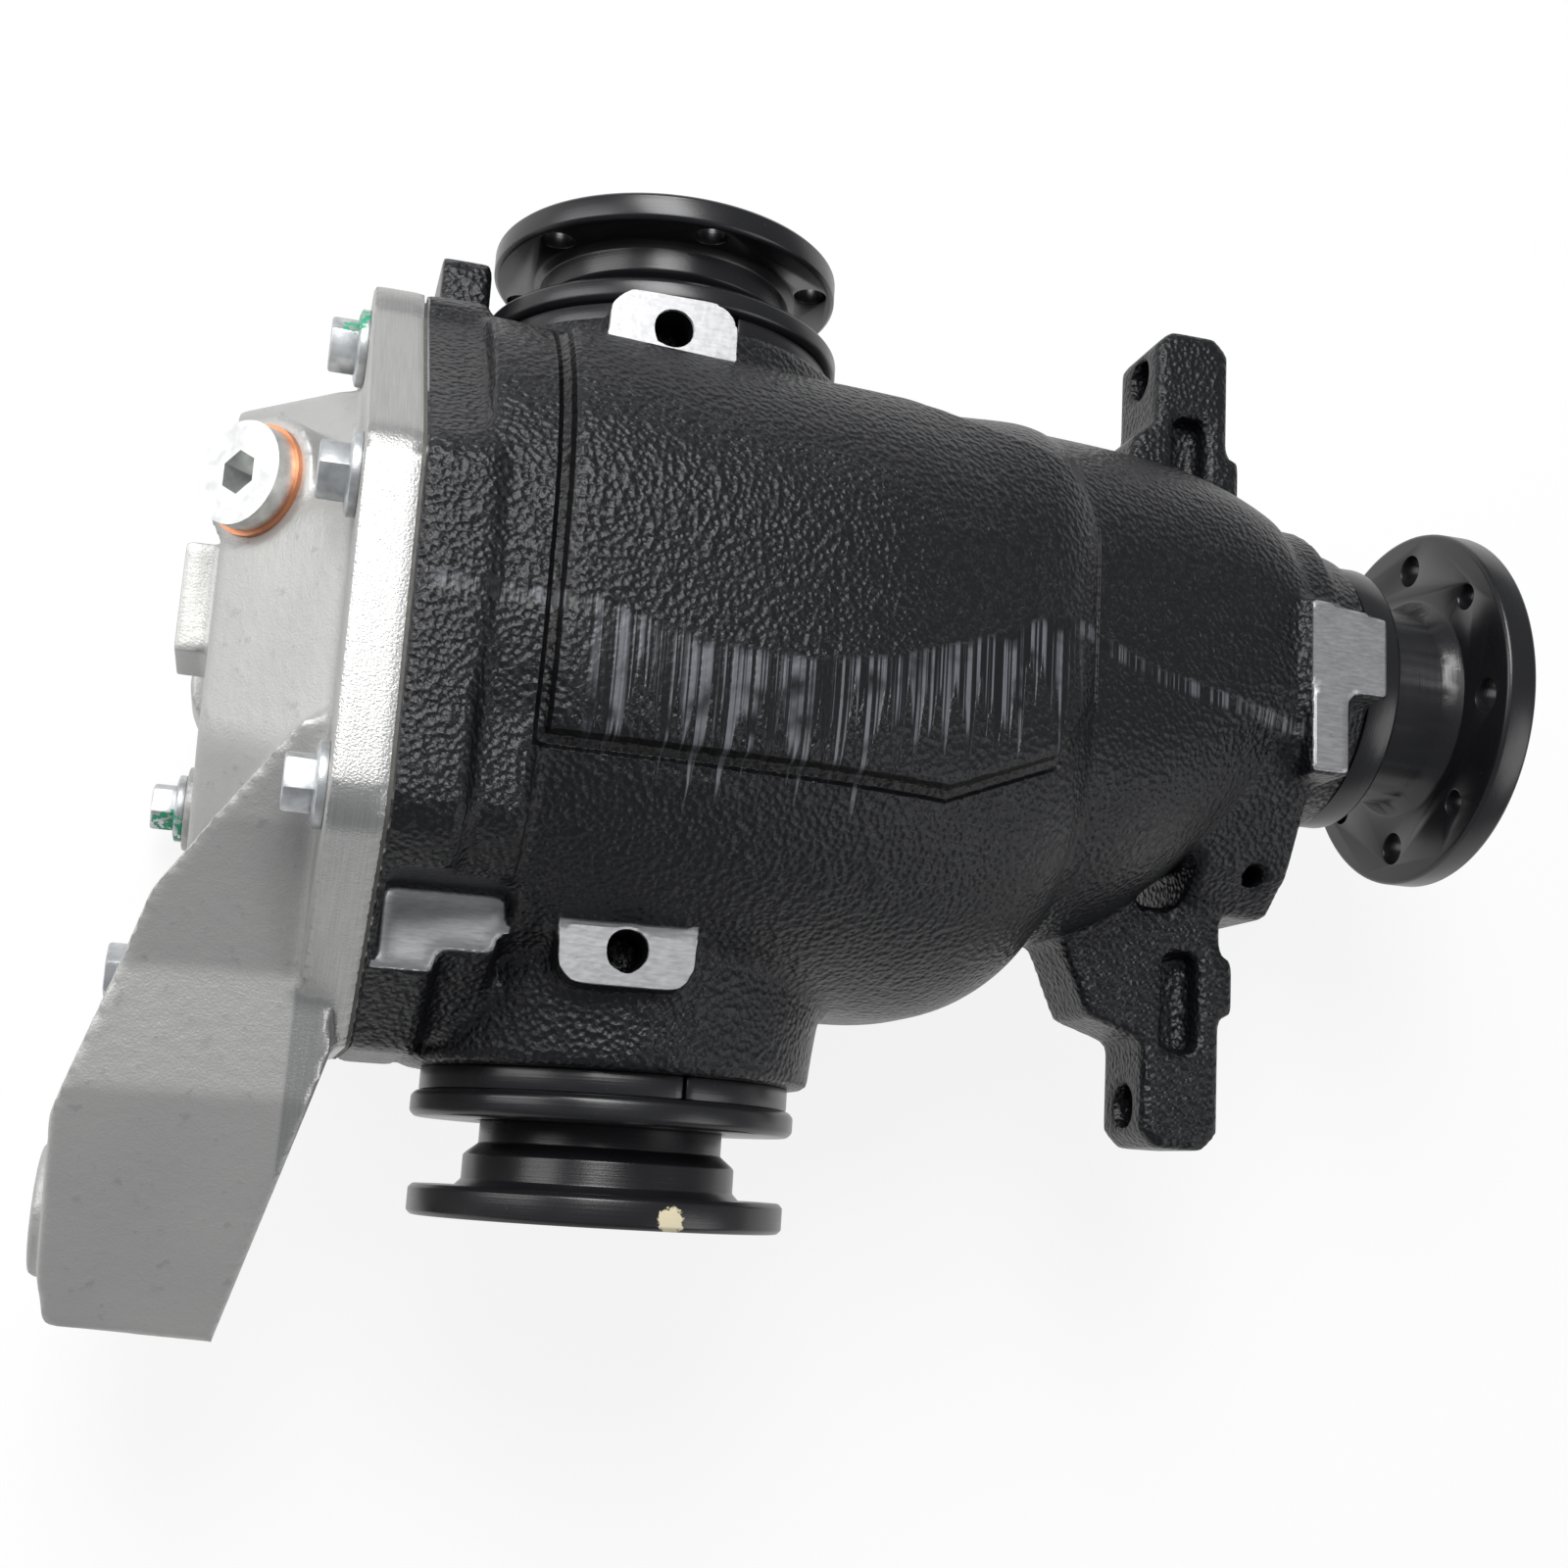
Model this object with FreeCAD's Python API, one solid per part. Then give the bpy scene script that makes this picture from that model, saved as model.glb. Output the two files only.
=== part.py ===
"""Rear differential of a passenger car, as separate solids in millimetres.

The pieces are drawn about the gear centre: X runs forward along the pinion axis,
Y runs along the axle to the car's left, Z is up, and the two axes cross at zero.
Each piece is then moved so that the origin lies midway between the front ear bolts.
"""
import FreeCAD, Part
import math
import os

V = FreeCAD.Vector
AXIS = {"X": V(1, 0, 0), "Y": V(0, 1, 0), "Z": V(0, 0, 1)}

# Clearances
seat_gap = 0.03
running_gap = 0.05
tooth_backlash = 0.30

# Final drive gears
ring_teeth = 40
pinion_teeth = 11
ring_pitch_radius = 92.0
gear_face = 30.0
spiral_angle = 25.0
pressure_angle = 22.5
ring_back = 50.0
ring_bore_radius = 58.0

# Differential gears
side_teeth = 16
spider_teeth = 10
side_pitch_radius = 28.0
side_face = 11.0
spider_centre_y = -8.0
side_back = 27.0
spider_back = 34.8
gear_washer = 0.9
cross_pin_radius = 7.0
stub_radius = 15.0
circlip_radius = 17.0
circlip_thickness = 1.6

# Differential case
pocket_radius = 36.0
case_flange_radius = 84.0
case_flange_thickness = 12.0
case_body_radius = 50.0
hub_radius = 31.0
journal_radius = 25.0
ring_bolt_circle = 75.0
ring_bolt_count = 10
ring_bolt_radius = 5.0
ring_bolt_head = 8.0
ring_bolt_reach = 12.0
window_radius = 21.0
lock_radius = 2.5
lock_x = 43.0

# Tapered roller bearings
side_bearing_outer = 40.0
side_bearing_width = 22.0
left_bearing_start = 42.0
right_bearing_start = -108.0
head_bearing_bore = 21.0
head_bearing_outer = 44.0
head_bearing_width = 28.0
head_bearing_start = 108.0
tail_bearing_bore = 16.0
tail_bearing_outer = 36.0
tail_bearing_width = 20.0
tail_bearing_end = 206.0
roller_count = 14
roller_lean = 12.0

# Output flanges
left_flange_face = 110.7
right_flange_face = -185.9
output_flange_radius = 54.0
output_flange_thickness = 8.7
output_bolt_circle = 94.0
output_bolt_count = 6
output_bolt_radius = 5.0
output_hole_turn = 5.0
output_hub_radius = 39.3
output_hub_length = 9.8
output_taper = 2.5
output_collar_radius = 35.2
output_collar_length = 12.0
seal_journal_radius = 24.0
shaft_radius = 17.5
pilot_radius = 31.0
pilot_depth = 4.0

# Side bearing carriers
carrier_rim_radius = 55.6
carrier_rim_thickness = 7.5
carrier_sleeve_radius = 47.0
carrier_gap = 18.7
shim_ring_radius = 53.5
shim_ring_length = 6.5
seal_radius = 37.0
seal_width = 9.0
oring_radius = 1.6

# Pinion line
pinion_shim_thickness = 1.2
pinion_seal_radius = 41.0
input_flange_face = 276.0
input_flange_radius = 60.2
input_flange_thickness = 10.6
input_bolt_circle = 96.0
input_bolt_radius = 5.3
input_tapped_radius = 4.2
input_hole_turn = 7.0
input_hub_radius = 33.0
input_seal_radius = 27.0
deflector_radius = 44.0
deflector_start = 227.0
deflector_length = 11.0
nut_radius = 21.0
nut_height = 11.0

# Main casting
joint_x = -76.0
flange_depth = 18.0
block_front = -42.0
bolt_margin = 16.0
opening_margin = 10.0
opening_round = 14.0
lug_radius = 18.0
wall = 9.0
neck_radius = 59.0
cavity_front = 99.0
nose_front = 226.0
nose_radius = 53.0
nose_flange_start = 199.0
nose_step = 214.0
nose_step_radius = 49.0
panel_rise = 3.5

# Ears and pads
ear_spacing = 244.0
ear_centre_y = -19.0
ear_rear = 165.0
ear_front = 191.0
ear_half_height = 15.0
ear_hole_radius = 6.6
ear_tip = 13.0
pad_height = 68.0
pad_hole_radius = 5.7
pad_hole_depth = 17.0
pad_hole_x = -9.0
pad_half_width = 18.5
pad_outside = 10.0
pad_inside = 12.5
pad_corner = 8.0
pad_root = 30.0
lug_edge = 97.0
lug_half = 12.0
lug_corner = 6.0
notch_height = 62.0
notch_edge = -101.0
left_pad_y = 61.5
right_pad_y = -114.0

# Cover
gasket = 1.0
cover_flange = 14.0
dome_depth = 33.0
dome_wall = 8.0
dome_margin = 8.0
dome_middle_y = -10.0
dome_width = 0.8
dome_height = 0.45
arm_end_y = -222.0
arm_fold = -158.0
arm_drop = 34.0
arm_top = 44.0
arm_bottom = -42.0
arm_front = -81.0
arm_rear = -145.0
arm_bore_radius = 7.0
arm_boss_radius = 18.0
arm_bore_y = -190.0
arm_bore_z = -8.0
arm_boss_rear = -153.0
plug_radius = 11.0
plug_head_radius = 14.5
plug_boss_radius = 19.0
plug_y = 5.0
plug_z = 52.0
plug_x = -116.0
drain_x = -112.0
drain_y = -30.0
drain_z = -68.0

# Cover bolts
bolt_radius = 4.9
bolt_hole_radius = 5.4
tapped_radius = 5.0
bolt_flange_radius = 11.0
bolt_flange_height = 2.4
hex_radius = 8.0
hex_height = 8.0
bolt_grip = 22.0
long_bolt_head_x = -130.0
short_bolts = [(54, 36), (-3, 92), (-83, 92), (54, -36), (-3, -92)]
long_bolts = [(-127, 28), (-127, -36), (-62, -92)]
flange_corners = [(54, -36), (54, 36), (-3, 92), (-83, 92), (-127, 28), (-127, -36), (-83, -92), (-3, -92)]
dowels = [(-48, 93), (-40, -93)]
dowel_radius = 4.0
dowel_length = 16.0

# Worked-out sizes
gear_module = 2 * ring_pitch_radius / ring_teeth
pinion_pitch_radius = gear_module * pinion_teeth / 2
cone_distance = math.hypot(ring_pitch_radius, pinion_pitch_radius)
ring_cone = math.atan2(ring_pitch_radius, pinion_pitch_radius)
pinion_cone = math.pi / 2 - ring_cone
side_module = 2 * side_pitch_radius / side_teeth
spider_pitch_radius = side_module * spider_teeth / 2
side_cone = math.atan2(side_pitch_radius, spider_pitch_radius)
side_cone_distance = math.hypot(side_pitch_radius, spider_pitch_radius)
carrier_room = output_flange_thickness + carrier_gap + carrier_rim_thickness + shim_ring_length
left_neck_end = left_flange_face - carrier_room
right_neck_end = right_flange_face + carrier_room
origin = V(ear_front, ear_centre_y, 0)


def point(axis, along, across, up=0.0):
    """A point given by its distance along an axis and its two other coordinates."""
    if axis == "X":
        return V(along, across, up)
    if axis == "Y":
        return V(across, along, up)
    return V(across, up, along)


def rod(axis, radius, start, end, centre=(0.0, 0.0)):
    """A round bar from start to end along an axis."""
    low, high = min(start, end), max(start, end)
    return Part.makeCylinder(radius, high - low, point(axis, low, *centre), AXIS[axis])


def tube(axis, outer, inner, start, end, centre=(0.0, 0.0)):
    """A bar with a hole through it."""
    return rod(axis, outer, start, end, centre).cut(rod(axis, inner, start - 1, end + 1, centre))


def closed_solid(shape):
    """The one solid of a shape, facing outwards."""
    solid = max(shape.Solids, key=lambda piece: abs(piece.Volume))
    return solid if solid.Volume > 0 else solid.reversed()


def turned(axis, profile):
    """A profile of (along, radius) points turned about an axis."""
    points = [point(axis, along, radius) for along, radius in profile]
    face = Part.Face(Part.makePolygon(points + points[:1]))
    return closed_solid(face.revolve(V(0, 0, 0), AXIS[axis], 360))


def prism(axis, outline, start, end):
    """An outline in the plane across an axis, pushed from start to end."""
    points = [point(axis, start, a, b) for a, b in outline]
    face = Part.Face(Part.makePolygon(points + points[:1]))
    return closed_solid(face.extrude(AXIS[axis] * (end - start)))


def box(low, high):
    """A block between two corners."""
    return Part.makeBox(high[0] - low[0], high[1] - low[1], high[2] - low[2], V(*low))


def rounded_wire(axis, along, corners, radius):
    """The outline of a band laid round convex corners, given anticlockwise."""
    edges = []
    count = len(corners)
    for i in range(count):
        before, here, after = corners[i - 1], corners[i], corners[(i + 1) % count]
        start = outward(before, here)
        end = outward(here, after)
        middle = math.hypot(start[0] + end[0], start[1] + end[1])
        bulge = ((start[0] + end[0]) / middle, (start[1] + end[1]) / middle)
        stations = [(here[0] + n[0] * radius, here[1] + n[1] * radius) for n in (start, bulge, end)]
        places = [point(axis, along, a, b) for a, b in stations]
        edges.append(Part.Arc(*places).toShape())
        next_start = (after[0] + end[0] * radius, after[1] + end[1] * radius)
        edges.append(Part.makeLine(places[2], point(axis, along, *next_start)))
    return Part.Wire(edges)


def outward(first, second):
    """The unit normal on the right of the way from first to second."""
    run = (second[0] - first[0], second[1] - first[1])
    size = math.hypot(*run)
    return (run[1] / size, -run[0] / size)


def inset(corners, distance):
    """Convex corners moved inwards, each side by the same distance."""
    moved = []
    count = len(corners)
    for i in range(count):
        before, here, after = corners[i - 1], corners[i], corners[(i + 1) % count]
        first = outward(before, here)
        second = outward(here, after)
        share = distance / (1 + first[0] * second[0] + first[1] * second[1])
        moved.append((here[0] - (first[0] + second[0]) * share, here[1] - (first[1] + second[1]) * share))
    return moved


def rounded_prism(axis, corners, radius, start, end):
    """A plate whose outline is a band round convex corners."""
    face = Part.Face(rounded_wire(axis, start, corners, radius))
    return closed_solid(face.extrude(AXIS[axis] * (end - start)))


def ring_of(shape, axis, count, first=0.0):
    """Copies of a shape spaced evenly round an axis."""
    copies = []
    for i in range(count):
        copy = shape.copy()
        copy.rotate(V(0, 0, 0), AXIS[axis], first + 360.0 * i / count)
        copies.append(copy)
    return copies


def mirrored(shape, normal, place=V(0, 0, 0)):
    """The mirror image of a shape, as a solid that faces outwards."""
    return closed_solid(shape.mirror(place, normal))


def flat_face(points):
    """A flat face inside a closed outline."""
    return Part.Face(Part.makePolygon(points + points[:1]))


def faceted(sections):
    """A solid through sections with equal point counts, each side a pair of flat triangles."""
    faces = [flat_face(sections[0]), flat_face(sections[-1])]
    for near, far in zip(sections, sections[1:]):
        for i in range(len(near)):
            a, b, c, d = near[i - 1], near[i], far[i], far[i - 1]
            faces.append(flat_face([a, b, c]))
            faces.append(flat_face([a, c, d]))
    shell = Part.makeShell(faces)
    shell.sewShape()
    return closed_solid(Part.makeSolid(shell))


def many_sided(profile, sides, first=0.0):
    """A blank about +X with flat sides, from (along, radius) points, solid to the axis."""
    sections = []
    for along, radius in profile:
        turns = [math.radians(first + 360.0 * i / sides) for i in range(sides)]
        sections.append([V(along, radius * math.cos(turn), radius * math.sin(turn)) for turn in turns])
    return faceted(sections)


def involute(angle):
    """The involute function of a pressure angle in radians."""
    return math.tan(angle) - angle


def tooth_section(cone, distance, module, shift, addendum, dedendum, twist, steps):
    """The flat outline of one bevel tooth across its back cone, about +X with the apex at zero."""
    virtual = distance * math.tan(cone)
    pressure = math.radians(pressure_angle)
    base = virtual * math.cos(pressure)
    root = virtual - dedendum
    tip = virtual + addendum
    thickness = module * (math.pi / 2 + 2 * shift * math.tan(pressure)) - tooth_backlash / 2
    half = thickness / (2 * virtual)
    flank = []
    for i in range(steps + 1):
        radius = max(root, base) + (tip - max(root, base)) * i / steps
        lean = involute(math.acos(min(1.0, base / radius)))
        flank.append((radius, half + involute(pressure) - lean))
    sunk = root - module * 0.35
    flank.insert(0, (sunk, flank[0][1] if root < base else flank[0][1] * 1.04))
    outline = [(r, -a) for r, a in flank] + [(r, a) for r, a in reversed(flank)]
    points = []
    for radius, angle in outline:
        across = radius * math.sin(angle)
        up = radius * math.cos(angle)
        along = distance / math.cos(cone) - up * math.sin(cone)
        out = up * math.cos(cone)
        points.append(V(along, out * math.cos(twist) - across * math.sin(twist),
                        out * math.sin(twist) + across * math.cos(twist)))
    return points


def bevel_tooth(cone, teeth, outer, face, shift, spans, hand, steps):
    """One tooth about +X: straight if hand is 0, spiral to either side if 1 or -1."""
    sections = []
    pitch_outer = 2 * outer * math.sin(cone) / teeth
    for i in range(spans + 1):
        distance = outer - face * i / spans
        module = pitch_outer * distance / outer
        addendum = module * 0.85 * (1 + shift)
        dedendum = module * (0.85 * (1 - shift) + 0.2)
        turn = hand * math.tan(math.radians(spiral_angle)) * math.log(distance / outer) / math.sin(cone)
        sections.append(tooth_section(cone, distance, module, shift, addendum, dedendum, turn, steps))
    return faceted(sections)


def root_point(cone, teeth, outer, distance, shift):
    """Where the root cone stands at a cone distance, as (along, radius)."""
    module = 2 * distance * math.sin(cone) / teeth
    dedendum = module * (0.85 * (1 - shift) + 0.2)
    virtual = distance * math.tan(cone) - dedendum
    along = distance / math.cos(cone) - virtual * math.sin(cone)
    return (along, virtual * math.cos(cone))


def bevel_gear(cone, teeth, outer, face, shift, blank, first, hand=0, spans=1, steps=2):
    """A bevel gear about +X: teeth fused to a blank."""
    tooth = bevel_tooth(cone, teeth, outer, face, shift, spans, hand, steps)
    return closed_solid(blank.fuse(ring_of(tooth, "X", teeth, first)))


def point_along_y(shape, side):
    """A shape about +X, turned to lie about +Y (side 1) or -Y (side -1)."""
    shape.rotate(V(0, 0, 0), AXIS["Z"], 90.0 * side)
    return shape


def ring_gear():
    """Spiral bevel ring gear, its back on the differential case's flange."""
    heel = root_point(ring_cone, ring_teeth, cone_distance, cone_distance, -0.3)
    toe = root_point(ring_cone, ring_teeth, cone_distance, cone_distance - gear_face, -0.3)
    chamfer = 4.0
    first = 180.0 / ring_teeth
    blank = many_sided([toe, heel, (ring_back - chamfer, heel[1]), (ring_back, heel[1] - chamfer)],
                       ring_teeth, first)
    blank = blank.cut(rod("X", ring_bore_radius, toe[0] - 1, ring_back + 1))
    gear = bevel_gear(ring_cone, ring_teeth, cone_distance, gear_face, -0.3, blank, first,
                      hand=1, spans=3, steps=1)
    gear = point_along_y(gear, -1)
    holes = [rod("Y", ring_bolt_radius + seat_gap, -ring_back - 1, -ring_back + ring_bolt_reach + 2,
                 (ring_bolt_circle, 0))]
    return closed_solid(gear.cut(ring_of(holes[0], "Y", ring_bolt_count)))


def pinion_shaft():
    """Pinion head, its shaft through both bearings, and the threaded end."""
    heel = root_point(pinion_cone, pinion_teeth, cone_distance, cone_distance, 0.3)
    toe = root_point(pinion_cone, pinion_teeth, cone_distance, cone_distance - gear_face, 0.3)
    shoulder = head_bearing_start - pinion_shim_thickness
    seat = head_bearing_bore - seat_gap
    step = tail_bearing_end - tail_bearing_width - 8
    tail = tail_bearing_bore - seat_gap
    head = many_sided([toe, heel, (shoulder - 4, heel[1] + 2)], 2 * pinion_teeth)
    head = bevel_gear(pinion_cone, pinion_teeth, cone_distance, gear_face, 0.3, head, 180.0,
                      hand=-1, spans=3, steps=2)
    stem = turned("X", [(shoulder - 4, 0), (shoulder - 4, heel[1] + 2), (shoulder, heel[1] + 2), (shoulder, seat),
                        (head_bearing_start + head_bearing_width + 2, seat), (step - 12, seat - 3), (step, tail),
                        (input_flange_face - 22, tail), (input_flange_face - 20, tail - 2),
                        (input_flange_face - 4, tail - 2), (input_flange_face - 3, tail - 3),
                        (input_flange_face - 3, 0)])
    return closed_solid(head.fuse(stem))



side_toe = root_point(side_cone, side_teeth, side_cone_distance, side_cone_distance - side_face, -0.15)[0]


def side_gear(side):
    """Straight bevel side gear about the axle, on the left (1) or right (-1)."""
    heel = root_point(side_cone, side_teeth, side_cone_distance, side_cone_distance, -0.15)
    toe = root_point(side_cone, side_teeth, side_cone_distance, side_cone_distance - side_face, -0.15)
    back = side_back
    blank = [(toe[0], stub_radius + seat_gap), toe, heel, (heel[0] + 4, heel[1] - 1.5),
             (back - 1, 22.0), (back, 21.0), (back, stub_radius + seat_gap)]
    gear = bevel_gear(side_cone, side_teeth, side_cone_distance, side_face, -0.15, turned("X", blank),
                      180.0 / side_teeth)
    gear = gear.common(Part.makeSphere(spider_back))
    gear = point_along_y(closed_solid(gear), side)
    gear.translate(V(0, spider_centre_y, 0))
    return gear


def spider_gear(turn):
    """Straight bevel spider gear on the cross pin, in front (0) or behind (180)."""
    cone = math.pi / 2 - side_cone
    heel = root_point(cone, spider_teeth, side_cone_distance, side_cone_distance, 0.15)
    toe = root_point(cone, spider_teeth, side_cone_distance, side_cone_distance - side_face, 0.15)
    bore = cross_pin_radius + running_gap
    blank = [(toe[0], bore), toe, heel, (heel[0] + 2, heel[1]), (spider_back + 2, heel[1] - 3),
             (spider_back + 2, bore)]
    gear = bevel_gear(cone, spider_teeth, side_cone_distance, side_face, 0.15, turned("X", blank), 0.0)
    gear = closed_solid(gear.common(Part.makeSphere(spider_back)))
    gear.rotate(V(0, 0, 0), AXIS["Z"], turn)
    gear.translate(V(0, spider_centre_y, 0))
    return gear


def spider_washers():
    """Domed thrust washers behind the two spider gears."""
    shell = Part.makeSphere(pocket_radius - 0.1).cut(Part.makeSphere(spider_back + 0.2))
    blank = tube("X", 14.0, cross_pin_radius + 0.3, 20, pocket_radius + 4)
    front = closed_solid(shell.common(blank))
    pieces = [front, mirrored(front, AXIS["X"])]
    group = Part.makeCompound(pieces)
    group.translate(V(0, spider_centre_y, 0))
    return group


def side_washer(side):
    """Flat thrust washer behind a side gear."""
    start = spider_centre_y + side * (side_back + 0.1)
    end = start + side * gear_washer
    return tube("Y", 22.0, shaft_radius + 0.4, min(start, end), max(start, end))


def diff_carrier():
    """Differential case: ring gear flange, gear pocket, hubs and journals."""
    left_hub = left_bearing_start
    right_hub = right_bearing_start
    flange_back = -ring_back - case_flange_thickness
    pilot = ring_bore_radius - seat_gap
    profile = [(right_hub - side_bearing_width, shaft_radius + running_gap),
               (right_hub - side_bearing_width, journal_radius - 1),
               (right_hub - side_bearing_width + 1, journal_radius), (right_hub, journal_radius),
               (right_hub, hub_radius), (flange_back - 8, hub_radius + 4), (flange_back, hub_radius + 14),
               (flange_back, case_flange_radius - 2), (flange_back + 2, case_flange_radius),
               (-ring_back, case_flange_radius), (-ring_back, pilot), (-36, pilot),
               (-33, case_body_radius + 2), (18, case_body_radius), (30, 41), (left_hub - 8, hub_radius + 2),
               (left_hub, hub_radius), (left_hub, journal_radius),
               (left_hub + side_bearing_width - 1, journal_radius),
               (left_hub + side_bearing_width, journal_radius - 1),
               (left_hub + side_bearing_width, shaft_radius + running_gap)]
    shell = turned("Y", profile)
    centre = V(0, spider_centre_y, 0)
    seat = side_back + gear_washer + 0.2
    slab = rod("Y", pocket_radius + 1, spider_centre_y - seat, spider_centre_y + seat)
    pocket = Part.makeSphere(pocket_radius, centre).common(slab)
    floor = rod("Y", 23.0, spider_centre_y - seat, spider_centre_y + seat)
    window = rod("Z", window_radius, -80, 80, (0, spider_centre_y))
    pin_hole = rod("X", cross_pin_radius + seat_gap, -70, 70, (spider_centre_y, 0))
    bolt_hole = rod("Y", ring_bolt_radius + 0.4, flange_back - 1, -ring_back + 1, (ring_bolt_circle, 0))
    lock_hole = rod("Y", lock_radius + seat_gap, flange_back - 1, spider_centre_y + 12, (lock_x, 0))
    for tool in [pocket, floor, window, pin_hole, lock_hole] + ring_of(bolt_hole, "Y", ring_bolt_count):
        shell = shell.cut(tool)
    return closed_solid(shell)



def cross_pin():
    """Pin through the case that carries the spider gears, drilled for its lock."""
    pin = rod("X", cross_pin_radius, -case_body_radius + 2, case_body_radius - 2, (spider_centre_y, 0))
    hole = rod("Y", lock_radius + seat_gap, spider_centre_y - 20, spider_centre_y + 20, (lock_x, 0))
    return pin.cut(hole)


def cross_pin_lock():
    """Long pin, put in from the flange side, that keeps the cross pin in place."""
    flange_back = -ring_back - case_flange_thickness
    return rod("Y", lock_radius, flange_back + 1, spider_centre_y + 11, (lock_x, 0))


def ring_gear_bolts():
    """Bolts through the case flange into the back of the ring gear."""
    flange_back = -ring_back - case_flange_thickness
    place = (ring_bolt_circle, 0)
    shank = rod("Y", ring_bolt_radius, flange_back, -ring_back + ring_bolt_reach, place)
    head = hexagon("Y", ring_bolt_head, flange_back - 7, flange_back, place)
    return Part.makeCompound(ring_of(closed_solid(shank.fuse(head)), "Y", ring_bolt_count))


def hexagon(axis, radius, start, end, centre):
    """A hexagonal bar, its corners at the given radius."""
    corners = []
    for i in range(6):
        angle = math.radians(60 * i + 30)
        corners.append((centre[0] + radius * math.cos(angle), centre[1] + radius * math.sin(angle)))
    return prism(axis, corners, start, end)


def bearing_parts(bore, outer, width):
    """Cup, cone and rollers about +X, the rollers' thick end at zero."""
    lean = math.radians(roller_lean)
    middle = (bore + outer) / 2
    roller = (outer - bore) * 0.145
    thin = roller * 0.84
    length = width * 0.66
    near = (width - length) / 2
    far = near + length
    shift = math.tan(lean) * length / 2
    gap = 0.08
    big_in = middle + shift - roller / math.cos(lean) - gap
    big_out = middle + shift + roller / math.cos(lean) + gap
    small_in = middle - shift - thin / math.cos(lean) - gap
    small_out = middle - shift + thin / math.cos(lean) + gap
    rib = near - roller * math.sin(lean) - gap
    rib_radius = big_in + roller * 0.7
    lip_radius = small_in + thin * 0.3
    cone = turned("X", [(0, bore), (0, rib_radius), (rib, rib_radius), (rib, big_in), (far + 0.4, small_in),
                        (far + 0.4, lip_radius), (width, lip_radius), (width, bore)])
    cup = turned("X", [(near * 0.5, outer), (near * 0.5, big_out + 0.2), (near, big_out),
                       (far, small_out), (width - 0.3, small_out - 0.3), (width - 0.3, outer)])
    run = V(length, -2 * shift, 0)
    start = V(near, middle + shift, 0)
    body = Part.makeCone(roller, thin, run.Length * 0.985, start, run)
    rollers = Part.makeCompound(ring_of(body, "X", roller_count))
    return cup, cone, rollers


def placed_bearing(bore, outer, width, axis, start, direction):
    """Cup, cone and rollers on an axis, the thick end at start, running one way."""
    pieces = bearing_parts(bore, outer, width)
    for piece in pieces:
        if axis == "Y":
            piece.rotate(V(0, 0, 0), AXIS["Z"], 90.0 * direction)
        elif direction < 0:
            piece.rotate(V(0, 0, 0), AXIS["Z"], 180.0)
        piece.translate(AXIS[axis] * start)
    return pieces


def output_shaft(side):
    """Output flange with its hub, dust collar and stub shaft, left (1) or right (-1)."""
    face = left_flange_face if side > 0 else -right_flange_face
    rear = face - output_flange_thickness
    hub = rear - output_hub_length
    taper = hub - output_taper
    collar = taper - output_collar_length
    inner = side * spider_centre_y + cross_pin_radius + 1.5
    step = side * spider_centre_y + side_back + 2.2
    seal_end = rear - carrier_gap - 15
    chamfer = 1.2
    profile = [(inner, 0), (inner, stub_radius - 1), (inner + 1, stub_radius),
               (step, stub_radius), (step, shaft_radius), (seal_end - 2.5, shaft_radius),
               (seal_end, seal_journal_radius), (collar, seal_journal_radius),
               (collar, output_collar_radius), (taper, output_collar_radius),
               (hub, output_hub_radius - 1), (hub + 1, output_hub_radius), (rear - 2, output_hub_radius),
               (rear, output_hub_radius + 2), (rear, output_flange_radius - chamfer),
               (rear + chamfer, output_flange_radius), (face - chamfer, output_flange_radius),
               (face, output_flange_radius - chamfer), (face, pilot_radius),
               (face - pilot_depth, pilot_radius), (face - pilot_depth, 0)]
    shaft = turned("Y", profile)
    hole = rod("Y", output_bolt_radius, rear - 1, face + 1, (0, output_bolt_circle / 2))
    for tool in ring_of(hole, "Y", output_bolt_count, output_hole_turn):
        shaft = shaft.cut(tool)
    groove_end = side * spider_centre_y + side_toe
    groove = tube("Y", stub_radius + 1, circlip_radius - 4, groove_end - circlip_thickness - 0.2, groove_end)
    shaft = closed_solid(shaft.cut(groove))
    return shaft if side > 0 else mirrored(shaft, AXIS["Y"])


def circlip(side):
    """Open ring in the stub shaft's groove, inside the side gear's toe."""
    start = side * spider_centre_y + side_toe - circlip_thickness - 0.1
    ring = tube("Y", circlip_radius - 0.3, circlip_radius - 3.9, start, start + circlip_thickness)
    ring = ring.cut(box((-1.5, start - 1, 0), (1.5, start + 4, circlip_radius + 1)))
    return closed_solid(ring) if side > 0 else mirrored(closed_solid(ring), AXIS["Y"])


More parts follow.
